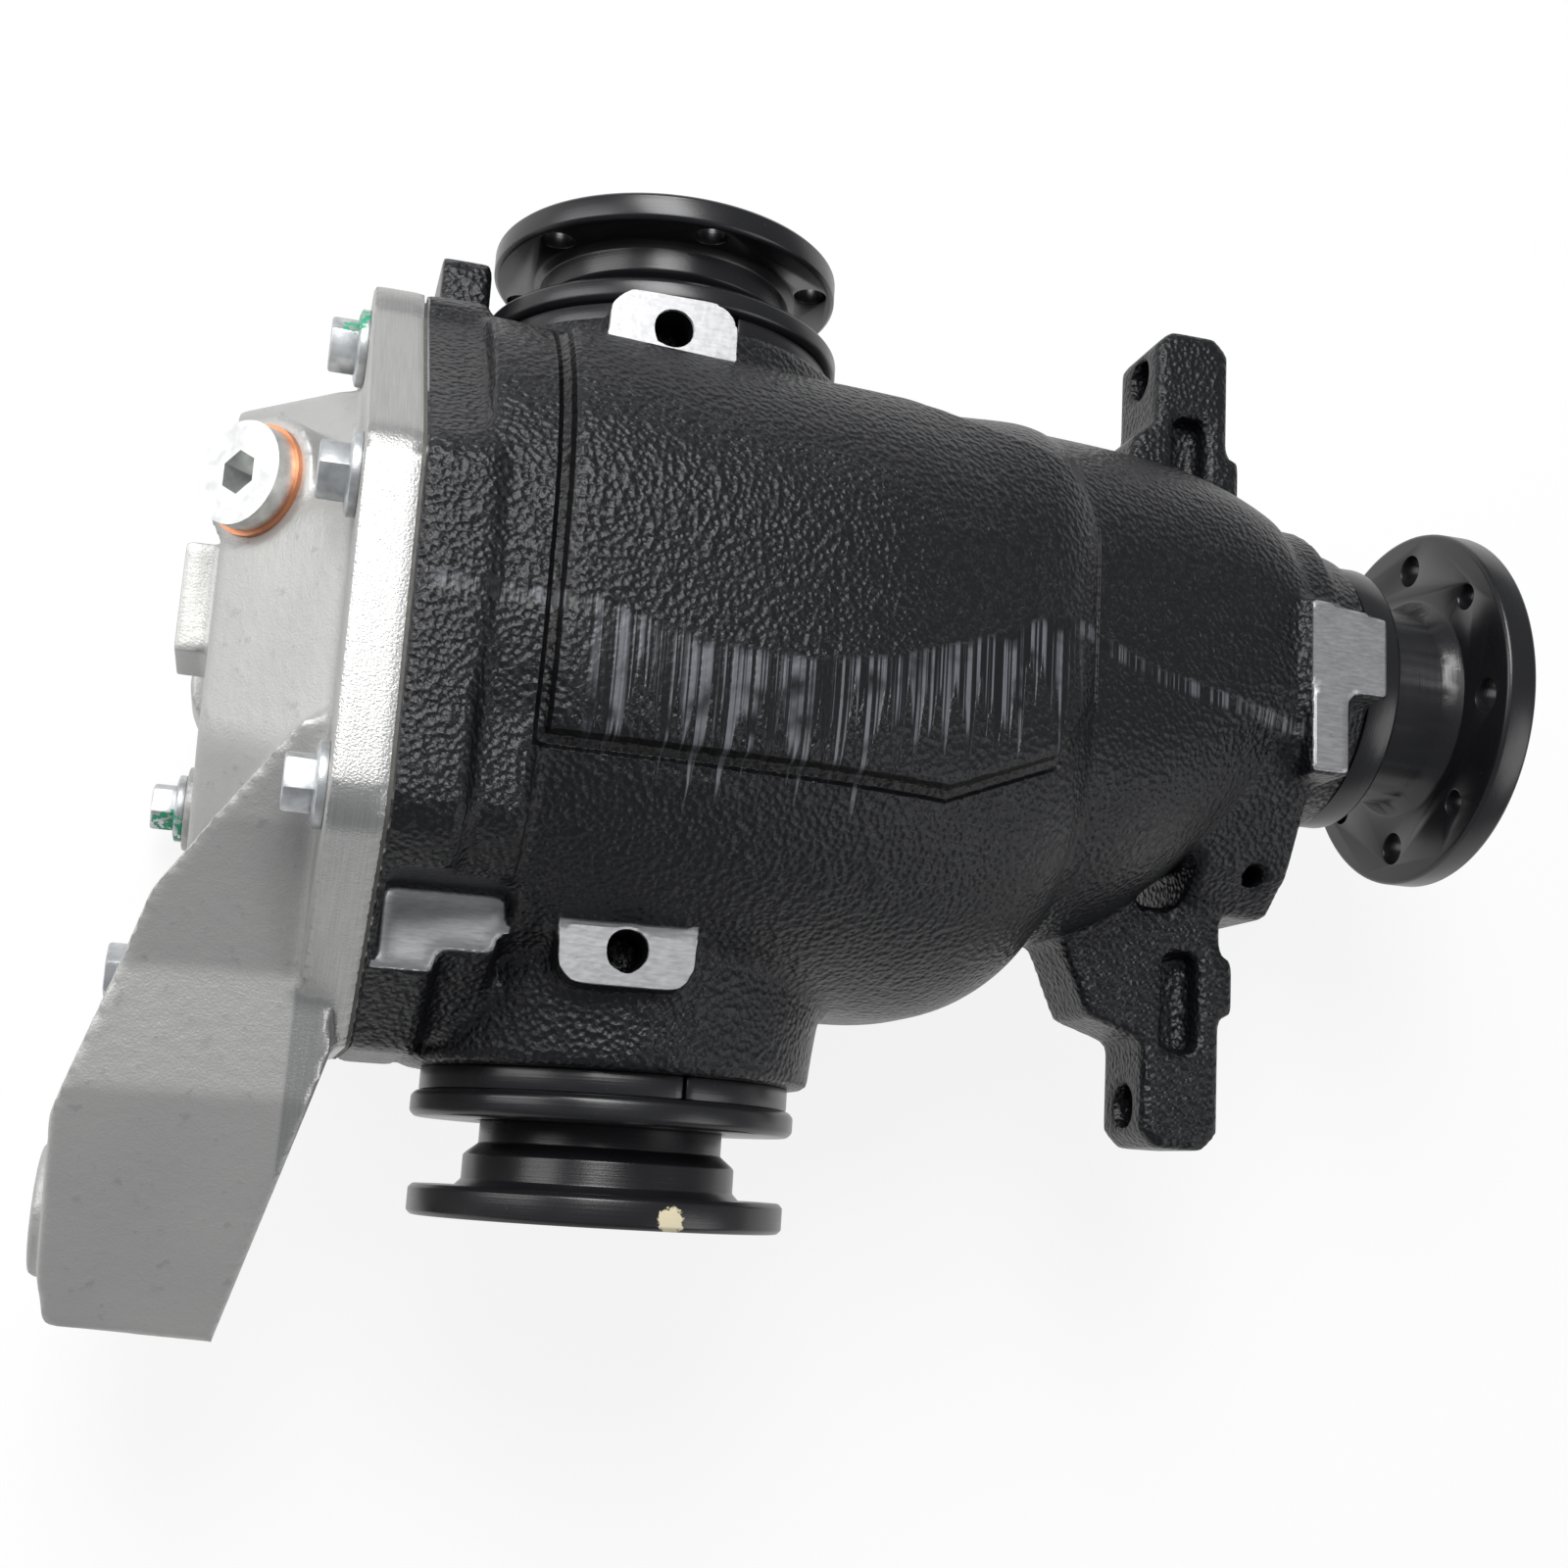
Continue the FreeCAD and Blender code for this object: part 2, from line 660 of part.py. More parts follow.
def bearing_carrier(side):
    """Flanged ring in the casting's neck: holds the bearing cup and the output seal."""
    face = left_flange_face if side > 0 else -right_flange_face
    outer = face - output_flange_thickness - carrier_gap
    rim = outer - carrier_rim_thickness
    cup_end = bearing_far_end(side)
    cup = side_bearing_outer + seat_gap
    chamfer = 1.5
    profile = [(cup_end - side_bearing_width + 1, cup), (cup_end - side_bearing_width + 1, carrier_sleeve_radius),
               (rim, carrier_sleeve_radius), (rim, carrier_rim_radius - chamfer),
               (rim + chamfer, carrier_rim_radius), (outer - chamfer, carrier_rim_radius),
               (outer, carrier_rim_radius - chamfer), (outer, output_collar_radius + 1.4),
               (outer - 5.5, output_collar_radius + 1.4), (outer - 5.5, seal_radius + 1.5),
               (outer - 5.5, seal_radius + seat_gap), (outer - 5.5 - seal_width - 0.3, seal_radius + seat_gap),
               (outer - 5.5 - seal_width - 0.3, journal_radius + 5), (cup_end - 0.3, journal_radius + 5),
               (cup_end - 0.3, cup)]
    ring = turned("Y", profile)
    groove_at = carrier_oring_place(side)
    groove = tube("Y", carrier_sleeve_radius + 1, carrier_sleeve_radius - 2 * oring_radius,
                  groove_at - 2, groove_at + 2)
    ring = closed_solid(ring.cut(groove))
    return ring if side > 0 else mirrored(ring, AXIS["Y"])


def bearing_far_end(side):
    """Distance of a side bearing's outer end from the gear centre."""
    if side > 0:
        return left_bearing_start + side_bearing_width
    return side_bearing_width - right_bearing_start


def carrier_oring_place(side):
    """Distance of a bearing carrier's O-ring from the gear centre."""
    neck_end = left_neck_end if side > 0 else -right_neck_end
    return neck_end - 6


def carrier_oring(side):
    """Rubber ring in the bearing carrier's groove."""
    place = side * carrier_oring_place(side)
    return Part.makeTorus(carrier_sleeve_radius - oring_radius + 0.01, oring_radius, V(0, place, 0), AXIS["Y"])


def shim_ring(side):
    """Plain ring between the casting's neck and the bearing carrier's rim, with its notch."""
    start = left_neck_end if side > 0 else right_neck_end
    end = start + side * shim_ring_length
    ring = tube("Y", shim_ring_radius, carrier_sleeve_radius + 0.2, min(start, end), max(start, end))
    slot = box((12.0, min(start, end) - 1, carrier_sleeve_radius - 2),
               (12.9, max(start, end) + 1, shim_ring_radius + 2))
    return closed_solid(ring.cut(slot))


def output_seal(side):
    """Lip seal in the bearing carrier, round the output shaft's journal."""
    face = left_flange_face if side > 0 else -right_flange_face
    outer = face - output_flange_thickness - carrier_gap - 5.6
    inner = outer - seal_width
    profile = [(inner, seal_radius), (outer, seal_radius), (outer, seal_journal_radius + 3),
               (outer - 3, seal_journal_radius + 0.3), (inner + 3.5, seal_journal_radius + 0.3),
               (inner + 1, seal_journal_radius + 4), (inner + 1.5, seal_radius - 2.5),
               (inner, seal_radius - 1.5)]
    seal = turned("Y", profile)
    return seal if side > 0 else mirrored(seal, AXIS["Y"])


def input_flange():
    """Input flange on the pinion's end, with its hub through the seal."""
    face = input_flange_face
    rear = face - input_flange_thickness
    bore = tail_bearing_bore
    chamfer = 1.0
    seat = tail_bearing_end
    profile = [(seat, bore), (seat, input_seal_radius - 2), (seat + 2, input_seal_radius), (deflector_start - 0.5, input_seal_radius),
               (deflector_start - 0.5, input_hub_radius), (rear - 6, input_hub_radius),
               (rear, input_hub_radius + 4), (rear, input_flange_radius - chamfer),
               (rear + chamfer, input_flange_radius), (face - chamfer, input_flange_radius),
               (face, input_flange_radius - chamfer), (face, 30), (face - 6, 30), (face - 6, 26),
               (face - 18, 26), (face - 18, bore)]
    flange = turned("X", profile)
    bolt = rod("X", input_bolt_radius, rear - 1, face + 1, (input_bolt_circle / 2, 0))
    tapped = rod("X", input_tapped_radius, rear - 1, face + 1, (input_bolt_circle / 2, 0))
    for tool in ring_of(bolt, "X", 4, input_hole_turn) + ring_of(tapped, "X", 4, input_hole_turn + 45):
        flange = flange.cut(tool)
    return closed_solid(flange)


def dust_deflector():
    """Turned cover ring on the hub that shields the pinion seal."""
    start = deflector_start
    end = start + deflector_length
    inner = input_hub_radius + seat_gap
    return turned("X", [(start + 5, inner), (start + 5, deflector_radius - 3), (start, deflector_radius - 3),
                        (start, deflector_radius), (end - 1, deflector_radius),
                        (end, deflector_radius - 1), (end, inner)])


def pinion_nut():
    """Collared hexagon nut on the pinion's end, inside the flange's recess."""
    seat = input_flange_face - 18
    nut = hexagon("X", nut_radius, seat + 2, seat + nut_height, (0, 0)).fuse(rod("X", nut_radius + 1, seat, seat + 2))
    return closed_solid(nut.cut(rod("X", tail_bearing_bore - seat_gap, seat - 1, seat + nut_height + 1)))


def crush_sleeve():
    """Thin sleeve between the pinion bearings, with its crush bulge."""
    start = head_bearing_start + head_bearing_width
    end = tail_bearing_end - tail_bearing_width
    middle = (start + end) / 2
    skin = 1.8
    inner = head_bearing_bore + 1
    profile = [(start, inner), (start, inner + skin), (middle - 8, inner + skin), (middle, inner + skin + 2.5),
               (middle + 8, inner + skin), (end, inner + skin), (end, inner), (middle + 8, inner),
               (middle, inner + 2.5), (middle - 8, inner)]
    return turned("X", profile)


def pinion_shim():
    """Ring between the pinion head and its bearing cone that sets the mesh."""
    return tube("X", 30.0, head_bearing_bore, head_bearing_start - pinion_shim_thickness, head_bearing_start)


def pinion_seal():
    """Lip seal in the nose, round the input flange's hub."""
    outer = nose_front - 1
    inner = outer - 10
    profile = [(inner, pinion_seal_radius), (outer, pinion_seal_radius), (outer, input_seal_radius + 3),
               (outer - 3, input_seal_radius + 0.3), (inner + 4, input_seal_radius + 0.3),
               (inner + 1, input_seal_radius + 4), (inner + 1.5, pinion_seal_radius - 3),
               (inner, pinion_seal_radius - 1.5)]
    return turned("X", profile)


# Barrel sections: x, right edge, left edge, half height, right corner, left corner
barrel = [(-60, -120, 66, 106, 80, 76), (-20, -122, 63, 106, 86, 76), (30, -122, 62, 102, 84, 76),
          (62, -122, 63, 96, 84, 74), (90, -120, 65, 87, 80, 68), (112, -108, 66, 78, 70, 62),
          (120, -98, 62, 70, 62, 58)]
nose = [(60, -95, 66, 78, 70, 62), (113, -95, 67, 71, 62, 58), (140, -90, 68, 64, 56, 56),
        (168, -72, 66, 58, 52, 52), (199, -54, 56, 53, 48, 50)]


def section(x, right, left, half, right_corner, left_corner, grow=0.0):
    """A closed rounded outline across X, with one corner radius on each side."""
    low, high = right - grow, left + grow
    top = half + grow
    r1 = min(right_corner, top - 1)
    r2 = min(left_corner, top - 1)
    lean = math.sqrt(0.5)
    corners = [(low + r1, -1, r1, -1), (high - r2, -1, r2, 1), (high - r2, 1, r2, 1), (low + r1, 1, r1, -1)]
    arcs = []
    for centre_y, up, radius, side in corners:
        centre_z = up * (top - radius)
        flat = V(x, centre_y, up * top)
        wall_point = V(x, centre_y + side * radius, centre_z)
        middle = V(x, centre_y + side * radius * lean, centre_z + up * radius * lean)
        arcs.append((flat, middle, wall_point) if up != side else (wall_point, middle, flat))
    edges = []
    for i in range(4):
        edges.append(Part.Arc(*arcs[i]).toShape())
        edges.append(Part.makeLine(arcs[i][2], arcs[(i + 1) % 4][0]))
    return Part.Wire(edges)


def skin(sections, grow=0.0):
    """A smooth solid through a list of sections."""
    return closed_solid(Part.makeLoft([section(*entry, grow=grow) for entry in sections], True, False))


def case_shell():
    """Outside of the main casting, before its bores are cut."""
    pieces = [skin(barrel), skin(nose)]
    pieces.append(rounded_prism("X", flange_corners, bolt_margin, joint_x, joint_x + flange_depth))
    pieces.append(rounded_prism("X", flange_corners, bolt_margin - 5, joint_x + flange_depth - 1, block_front))
    for z in (short_bolts[0][1], short_bolts[3][1]):
        pieces.append(rod("X", lug_radius, joint_x, joint_x + flange_depth, (short_bolts[0][0], z)))
    pieces.append(turned("Y", [(0, 0), (0, 70), (left_neck_end - 22, 68), (left_neck_end - 10, neck_radius + 2),
                               (left_neck_end, neck_radius), (left_neck_end, 0)]))
    pieces.append(turned("Y", [(0, 0), (0, 72), (-96, 72), (-112, neck_radius + 4), (right_neck_end + 10, neck_radius + 1),
                               (right_neck_end, neck_radius), (right_neck_end, 0)]))
    pieces.append(turned("X", [(150, 0), (150, 50), (nose_flange_start, nose_radius - 4),
                               (nose_flange_start + 2, nose_radius), (nose_step - 2, nose_radius),
                               (nose_step, nose_step_radius), (nose_front, nose_step_radius - 3),
                               (nose_front, 0)]))
    pieces.append(raised_panel())
    pieces += [hole_pad(left_pad_y, 1), hole_pad(right_pad_y, -1), joint_lug()]
    pieces += ears()
    pieces += nose_blocks()
    shell = pieces[0].fuse(pieces[1:])
    notch = box((joint_x + 2, -150, notch_height), (block_front + 2, notch_edge, 130))
    return closed_solid(shell.cut(notch).removeSplitter())


def raised_panel():
    """Flat raised panel on top of the barrel, over the ring gear."""
    outline = [(-40, -66), (70, -66), (104, -52), (119, -30), (119, 22), (108, 40), (60, 52), (-40, 52)]
    return closed_solid(skin(barrel, panel_rise).common(prism("Z", [(a, b) for a, b in outline], 20, 130)))


def hole_pad(y, side):
    """Boss with a machined top and rounded outer corners, running back into the barrel."""
    low, high = pad_hole_x - pad_half_width, pad_hole_x + pad_half_width
    outer, inner = y + side * pad_outside, y - side * pad_inside
    edges = sorted([outer - side * pad_corner, inner + side * pad_corner])
    corners = [(low + pad_corner, edges[0]), (high - pad_corner, edges[0]),
               (high - pad_corner, edges[1]), (low + pad_corner, edges[1])]
    top = rounded_prism("Z", corners, pad_corner, shim_ring_radius + 1.5, pad_height)
    middle = y
    slope = [(middle, pad_root), (middle, pad_height), (inner, pad_height), (inner - side * 2, pad_height + 5),
             (inner - side * 28, pad_height + 30), (inner - side * 28, pad_root)]
    if side < 0:
        slope = slope[::-1]
    return closed_solid(top.fuse(prism("X", slope, low, high)))


def joint_lug():
    """Blank lug that stands out of the casting's joint flange, on the left."""
    corners = [(lug_edge - 26, -lug_half), (lug_edge - lug_corner, -lug_half),
               (lug_edge - lug_corner, lug_half), (lug_edge - 26, lug_half)]
    return rounded_prism("X", corners, lug_corner, joint_x + 5, joint_x + flange_depth + 2)


def ear_outline(side, reach):
    """Outline of one ear in plan, from the casting out to its rounded tip."""
    tip = ear_centre_y + side * (ear_spacing / 2 + ear_tip)
    shoulder = ear_centre_y + side * (ear_spacing / 2 - 20)
    root = ear_centre_y + side * 60
    chamfer = 5
    return [(ear_rear - reach, root), (ear_rear - reach * 0.55, shoulder - side * 6), (ear_rear, shoulder),
            (ear_rear, tip - side * chamfer), (ear_rear + chamfer, tip), (ear_front - chamfer, tip),
            (ear_front, tip - side * chamfer), (ear_front, shoulder - side * 8),
            (ear_front + 5, shoulder - side * 10), (ear_front + 5, shoulder - side * 26),
            (ear_front, shoulder - side * 30), (ear_front, root)]


def ears():
    """Front mounting ears, one each side of the nose, with pocketed sides."""
    pieces = []
    for side, reach in ((1, 14), (-1, 34)):
        outline = ear_outline(side, reach)
        if side < 0:
            outline = outline[::-1]
        ear = prism("Z", outline, -ear_half_height, ear_half_height)
        inner = ear_centre_y + side * (ear_spacing / 2 - 17)
        outer = ear_centre_y + side * (ear_spacing / 2 - 48)
        low, high = min(inner, outer), max(inner, outer)
        for floor, top in ((6, ear_half_height + 1), (-ear_half_height - 1, -6)):
            ear = ear.cut(box((ear_rear + 7, low, floor), (ear_front - 8, high, top)))
        pieces.append(ear)
    return pieces


def nose_blocks():
    """Machined L pad on the nose, the raised plate beside it, and the same plate mirrored below."""
    top = 56.0
    pad = prism("Z", [(199, -40), (213, -40), (213, -14), (226, -14), (226, 12), (199, 16)], 20, top)
    plate = prism("X", [(-80, -32), (-80, 14), (-68, 28), (-28, 50), (0, 52), (0, -32)][::-1], 176, 207)
    return [pad, plate]


def case_cavity():
    """Room inside the casting for the differential case, ring gear and pinion head."""
    inside = skin([(*entry[:4], entry[4] - wall, entry[5] - wall) for entry in barrel], -wall)
    tools = [inside.common(rod("X", 300, -200, cavity_front))]
    opening = rounded_prism("X", opening_corners(opening_margin), opening_round, joint_x - 1, -30)
    tools.append(opening)
    tools.append(rod("X", head_bearing_outer + 6, 60, head_bearing_start - 3))
    return tools


def case_bores():
    """Bearing seats, bores and screw holes of the main casting."""
    tools = [rod("Y", carrier_sleeve_radius + seat_gap, 40, left_neck_end + 1)]
    tools.append(rod("Y", carrier_sleeve_radius + seat_gap, -90, right_neck_end - 1))
    tools.append(rod("X", head_bearing_outer + seat_gap, head_bearing_start - 6,
                     head_bearing_start + head_bearing_width - 0.3))
    tools.append(rod("X", tail_bearing_outer - 4, head_bearing_start, nose_front))
    tools.append(rod("X", tail_bearing_outer + seat_gap, tail_bearing_end - tail_bearing_width + 0.3, nose_front))
    tools.append(rod("X", pinion_seal_radius + seat_gap, nose_front - 13, nose_front + 1))
    for y, z in short_bolts + long_bolts:
        tools.append(rod("X", tapped_radius, joint_x - 1, joint_x + bolt_grip, (y, z)))
    for y, z in dowels:
        tools.append(rod("X", dowel_radius + seat_gap, joint_x - 1, joint_x + dowel_length / 2 + 1, (y, z)))
    for y in (left_pad_y, right_pad_y):
        tools.append(rod("Z", pad_hole_radius, pad_height - pad_hole_depth, pad_height + 1, (pad_hole_x, y)))
    for side in (1, -1):
        y = ear_centre_y + side * ear_spacing / 2
        tools.append(rod("X", ear_hole_radius, ear_rear - 40, ear_front + 10, (y, 0)))
    tools.append(rod("Z", 3.6, 12, 60, (196, -68)))
    return tools


def case():
    """The main casting, hollow and bored."""
    shell = case_shell()
    return closed_solid(shell.cut(case_cavity() + case_bores()))


def opening_corners(margin):
    """Corners of an opening whose edge runs inside the bolts by a margin."""
    return inset(flange_corners, margin + opening_round)


def cover_gasket():
    """Thin gasket between casting and cover."""
    outer = rounded_prism("X", flange_corners, bolt_margin - 0.5, joint_x, joint_x - gasket)
    inner = rounded_prism("X", opening_corners(opening_margin), opening_round, joint_x + 1, joint_x - gasket - 1)
    sheet = outer.cut(inner)
    for y, z in short_bolts + long_bolts:
        sheet = sheet.cut(rod("X", bolt_hole_radius, joint_x - gasket - 1, joint_x + 1, (y, z)))
    for y, z in dowels:
        sheet = sheet.cut(rod("X", dowel_radius + seat_gap, joint_x - gasket - 1, joint_x + 1, (y, z)))
    return closed_solid(sheet)


def dome(shrink):
    """Domed back of the cover, lofted from the flange to its smaller rear wall."""
    face = joint_x - gasket
    rear = face - cover_flange - dome_depth + shrink
    corners = opening_corners(dome_margin + shrink)
    small = [(dome_middle_y + (y - dome_middle_y) * dome_width, z * dome_height) for y, z in corners]
    near = rounded_wire("X", face - cover_flange + 2, corners, opening_round)
    far = rounded_wire("X", rear, small, opening_round)
    return closed_solid(Part.makeLoft([near, far], True, True))


def plug_axis():
    """Direction in which the fill plug leaves the cover."""
    lean = math.sqrt(0.5)
    return V(-lean, 0, lean)


def arm():
    """Mounting arm of the cover, hollowed from behind, with its end boss."""
    side_view = [(-60, arm_bottom - 38), (-60, arm_top + 40), (-90, arm_top + 28), (-126, arm_top + 6),
                 (arm_fold, arm_top), (arm_end_y, arm_top - arm_drop), (arm_end_y, arm_bottom + 14),
                 (arm_fold, arm_bottom), (-126, arm_bottom - 4), (-90, arm_bottom - 24)]
    top = prism("X", side_view[::-1], arm_rear - 20, arm_front + 20)
    plan = [(-89, -60), (-89, -106), (arm_front, -144), (-103, arm_end_y), (-146, arm_end_y + 3),
            (arm_boss_rear + 4, -205), (arm_rear - 4, -165), (-130, -108), (-99, -66)]
    body = closed_solid(top.common(prism("Z", plan, -120, 120)))
    for low, high in ((-150, -112), (-172, -154)):
        body = body.cut(box((arm_rear - 15, low, arm_bottom + 9), (arm_front - 14, high, arm_top - 11)))
    boss = rod("X", arm_boss_radius, arm_boss_rear, -106, (arm_bore_y, arm_bore_z))
    return closed_solid(body.fuse(boss))


def rear_cover():
    """Cast cover: flange, dome, filler boss, blank boss, long bolt bosses and arm."""
    face = joint_x - gasket
    cover = rounded_prism("X", flange_corners, bolt_margin, face, face - cover_flange)
    for z in (short_bolts[0][1], short_bolts[3][1]):
        cover = cover.fuse(rod("X", lug_radius, face - cover_flange, face, (short_bolts[0][0], z)))
    out = plug_axis()
    boss_start = V(plug_x, plug_y, plug_z) - out * 30
    pieces = [dome(0), arm(), Part.makeCylinder(plug_boss_radius, 30, boss_start, out)]
    pieces.append(box((-134, -36, -12), (-110, -4, 20)))
    for y, z in long_bolts:
        pieces.append(rod("X", bolt_flange_radius + 3, long_bolt_head_x, face - 1, (y, z)))
    pieces.append(rod("Z", plug_boss_radius, drain_z, drain_z + 28, (drain_x, drain_y)))
    cover = cover.fuse(pieces)
    cover = cover.cut(dome(dome_wall))
    cover = cover.cut(rounded_prism("X", opening_corners(dome_margin + dome_wall), opening_round, face + 1,
                                    face - cover_flange + 2))
    tools = [Part.makeCylinder(plug_radius + seat_gap, 60, V(plug_x, plug_y, plug_z) - out * 59, out)]
    tools.append(Part.makeCylinder(plug_boss_radius, 30, V(plug_x, plug_y, plug_z), out))
    tools.append(rod("Z", plug_radius + seat_gap, drain_z - 1, drain_z + 34, (drain_x, drain_y)))
    tools.append(rod("Z", plug_boss_radius, drain_z - 30, drain_z, (drain_x, drain_y)))
    for y, z in short_bolts:
        tools.append(rod("X", bolt_hole_radius, face - cover_flange - 1, face + 1, (y, z)))
        tools.append(rod("X", bolt_flange_radius + 2, face - cover_flange - 30, face - cover_flange, (y, z)))
    for y, z in long_bolts:
        tools.append(rod("X", bolt_hole_radius, long_bolt_head_x - 1, face + 1, (y, z)))
        tools.append(rod("X", bolt_flange_radius + 2, long_bolt_head_x - 30, long_bolt_head_x, (y, z)))
    for y, z in dowels:
        tools.append(rod("X", dowel_radius + seat_gap, face - dowel_length / 2, face + 1, (y, z)))
    tools.append(rod("X", arm_bore_radius, arm_boss_rear - 5, -60, (arm_bore_y, arm_bore_z)))
    return closed_solid(cover.cut(tools))


def cover_bolt(y, z, seat):
    """One flanged hexagon bolt, head to the rear."""
    tip = joint_x + bolt_grip - 2
    shank = rod("X", bolt_radius, seat, tip, (y, z))
    washer = rod("X", bolt_flange_radius, seat - bolt_flange_height, seat, (y, z))
    head = hexagon("X", hex_radius, seat - bolt_flange_height - hex_height, seat - bolt_flange_height, (y, z))
    return closed_solid(shank.fuse([washer, head]))


def cover_bolts():
    """The short bolts round the cover's flange."""
    seat = joint_x - gasket - cover_flange
    return Part.makeCompound([cover_bolt(y, z, seat) for y, z in short_bolts])


def long_cover_bolts():
    """The long bolts through the arm's root."""
    return Part.makeCompound([cover_bolt(y, z, long_bolt_head_x) for y, z in long_bolts])


def cover_dowels():
    """Two dowel pins that place the cover."""
    middle = joint_x - gasket / 2
    half = dowel_length / 2 - 1
    return Part.makeCompound([rod("X", dowel_radius, middle - half, middle + half, place) for place in dowels])


def plug(place, out, depth):
    """A threaded plug with a round head and a hexagonal socket."""
    shank = Part.makeCylinder(plug_radius, depth, V(0, 0, -depth), AXIS["Z"])
    head = Part.makeCylinder(plug_head_radius, 6, V(0, 0, 1.5), AXIS["Z"])
    neck = Part.makeCylinder(plug_radius, 1.5, V(0, 0, 0), AXIS["Z"])
    body = closed_solid(shank.fuse([head, neck]).removeSplitter())
    body = closed_solid(body.cut(hexagon("Z", 6.2, -3, 8, (0, 0))))
    return closed_solid(placed(body, place, out))


def plug_washer(place, out):
    """Sealing ring under a plug's head."""
    ring = tube("Z", plug_head_radius + 1.2, plug_radius + 0.1, 0, 1.5)
    return closed_solid(placed(ring, place, out))


def placed(shape, place, out):
    """A shape about +Z, moved to a place and turned to point along a direction."""
    shape.Placement = FreeCAD.Placement(place, FreeCAD.Rotation(AXIS["Z"], out)).multiply(shape.Placement)
    return shape


def build():
    """Every piece by its name."""
    fill = V(plug_x, plug_y, plug_z)
    drain = V(drain_x, drain_y, drain_z)
    down = V(0, 0, -1)
    parts = {
        "case": case(), "rear_cover": rear_cover(), "cover_gasket": cover_gasket(),
        "cover_bolts": cover_bolts(), "long_cover_bolts": long_cover_bolts(), "cover_dowels": cover_dowels(),
        "fill_plug": plug(fill, plug_axis(), 12), "fill_plug_washer": plug_washer(fill, plug_axis()),
        "drain_plug": plug(drain, down, 12), "drain_plug_washer": plug_washer(drain, down),
        "ring_gear": ring_gear(), "ring_gear_bolts": ring_gear_bolts(), "diff_carrier": diff_carrier(),
        "cross_pin": cross_pin(), "cross_pin_lock": cross_pin_lock(), "spider_washers": spider_washers(),
        "spider_gear_1": spider_gear(0), "spider_gear_2": spider_gear(180),
        "pinion_shaft": pinion_shaft(), "pinion_shim": pinion_shim(), "crush_sleeve": crush_sleeve(),
        "pinion_seal": pinion_seal(), "input_flange": input_flange(), "dust_deflector": dust_deflector(),
        "pinion_nut": pinion_nut(),
    }
    for name, side in (("left", 1), ("right", -1)):
        parts[name + "_side_gear"] = side_gear(side)
        parts[name + "_side_washer"] = side_washer(side)
        parts[name + "_output_shaft"] = output_shaft(side)
        parts[name + "_circlip"] = circlip(side)
        parts[name + "_bearing_carrier"] = bearing_carrier(side)
        parts[name + "_carrier_oring"] = carrier_oring(side)
        parts[name + "_shim_ring"] = shim_ring(side)
        parts[name + "_output_seal"] = output_seal(side)
        start = left_bearing_start if side > 0 else right_bearing_start
        cup, cone, rollers = placed_bearing(journal_radius + seat_gap, side_bearing_outer, side_bearing_width, "Y", start, side)
        parts.update({name + "_bearing_cup": cup, name + "_bearing_cone": cone, name + "_bearing_rollers": rollers})
    head = placed_bearing(head_bearing_bore, head_bearing_outer, head_bearing_width, "X", head_bearing_start, 1)
    tail = placed_bearing(tail_bearing_bore, tail_bearing_outer, tail_bearing_width, "X", tail_bearing_end, -1)
    for name, pieces in (("head", head), ("tail", tail)):
        for kind, piece in zip(("cup", "cone", "rollers"), pieces):
            parts["pinion_" + name + "_" + kind] = piece
    return parts


def export(parts):
    """Move each piece to the shared origin and write it to its own file."""
    os.makedirs("parts", exist_ok=True)
    for name, shape in parts.items():
        shape.translate(-origin)
        shape.exportStep("parts/" + name + ".step")
        solids = shape.Solids
        valid = shape.isValid()
        print(name, len(solids), "valid" if valid else "INVALID", round(sum(s.Volume for s in solids)))


export(build())
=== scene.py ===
"""Look of a rear differential: black cast case, bare aluminium cover, turned black flanges.

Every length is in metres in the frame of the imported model. The gear centre lies behind
the origin, which is midway between the front ear bolts.
"""

import logging
import math
from dataclasses import dataclass, field
from enum import Enum
from typing import Callable, Iterable, Sequence

import bpy
from mathutils import Matrix, Vector


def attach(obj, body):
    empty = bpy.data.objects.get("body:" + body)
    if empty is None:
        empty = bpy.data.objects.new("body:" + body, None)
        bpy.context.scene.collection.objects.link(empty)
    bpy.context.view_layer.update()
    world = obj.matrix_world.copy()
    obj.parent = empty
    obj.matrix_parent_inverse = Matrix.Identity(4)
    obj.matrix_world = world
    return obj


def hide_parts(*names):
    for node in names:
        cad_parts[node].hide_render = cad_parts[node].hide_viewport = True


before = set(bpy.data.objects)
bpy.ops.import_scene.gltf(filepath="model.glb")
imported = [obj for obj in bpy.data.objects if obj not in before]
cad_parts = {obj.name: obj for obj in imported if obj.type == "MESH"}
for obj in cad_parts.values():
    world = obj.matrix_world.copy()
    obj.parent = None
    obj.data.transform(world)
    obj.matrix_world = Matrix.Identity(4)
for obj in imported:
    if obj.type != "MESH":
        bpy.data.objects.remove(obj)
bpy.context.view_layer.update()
log = logging.getLogger("differential")

GEAR_CENTRE = Vector((-0.191, 0.019, 0.0))
MM = 0.001


def at(x: float, y: float, z: float) -> Vector:
    """A point given in millimetres from the gear centre.

    Args:
        x: Forward distance.
        y: Distance to the car's left.
        z: Height.

    Returns:
        The same point in the frame, in metres.
    """
    return GEAR_CENTRE + Vector((x, y, z)) * MM


class Axis(Enum):
    """Main directions of the unit."""

    PINION = Vector((1, 0, 0))
    AXLE = Vector((0, 1, 0))


# Shader maths


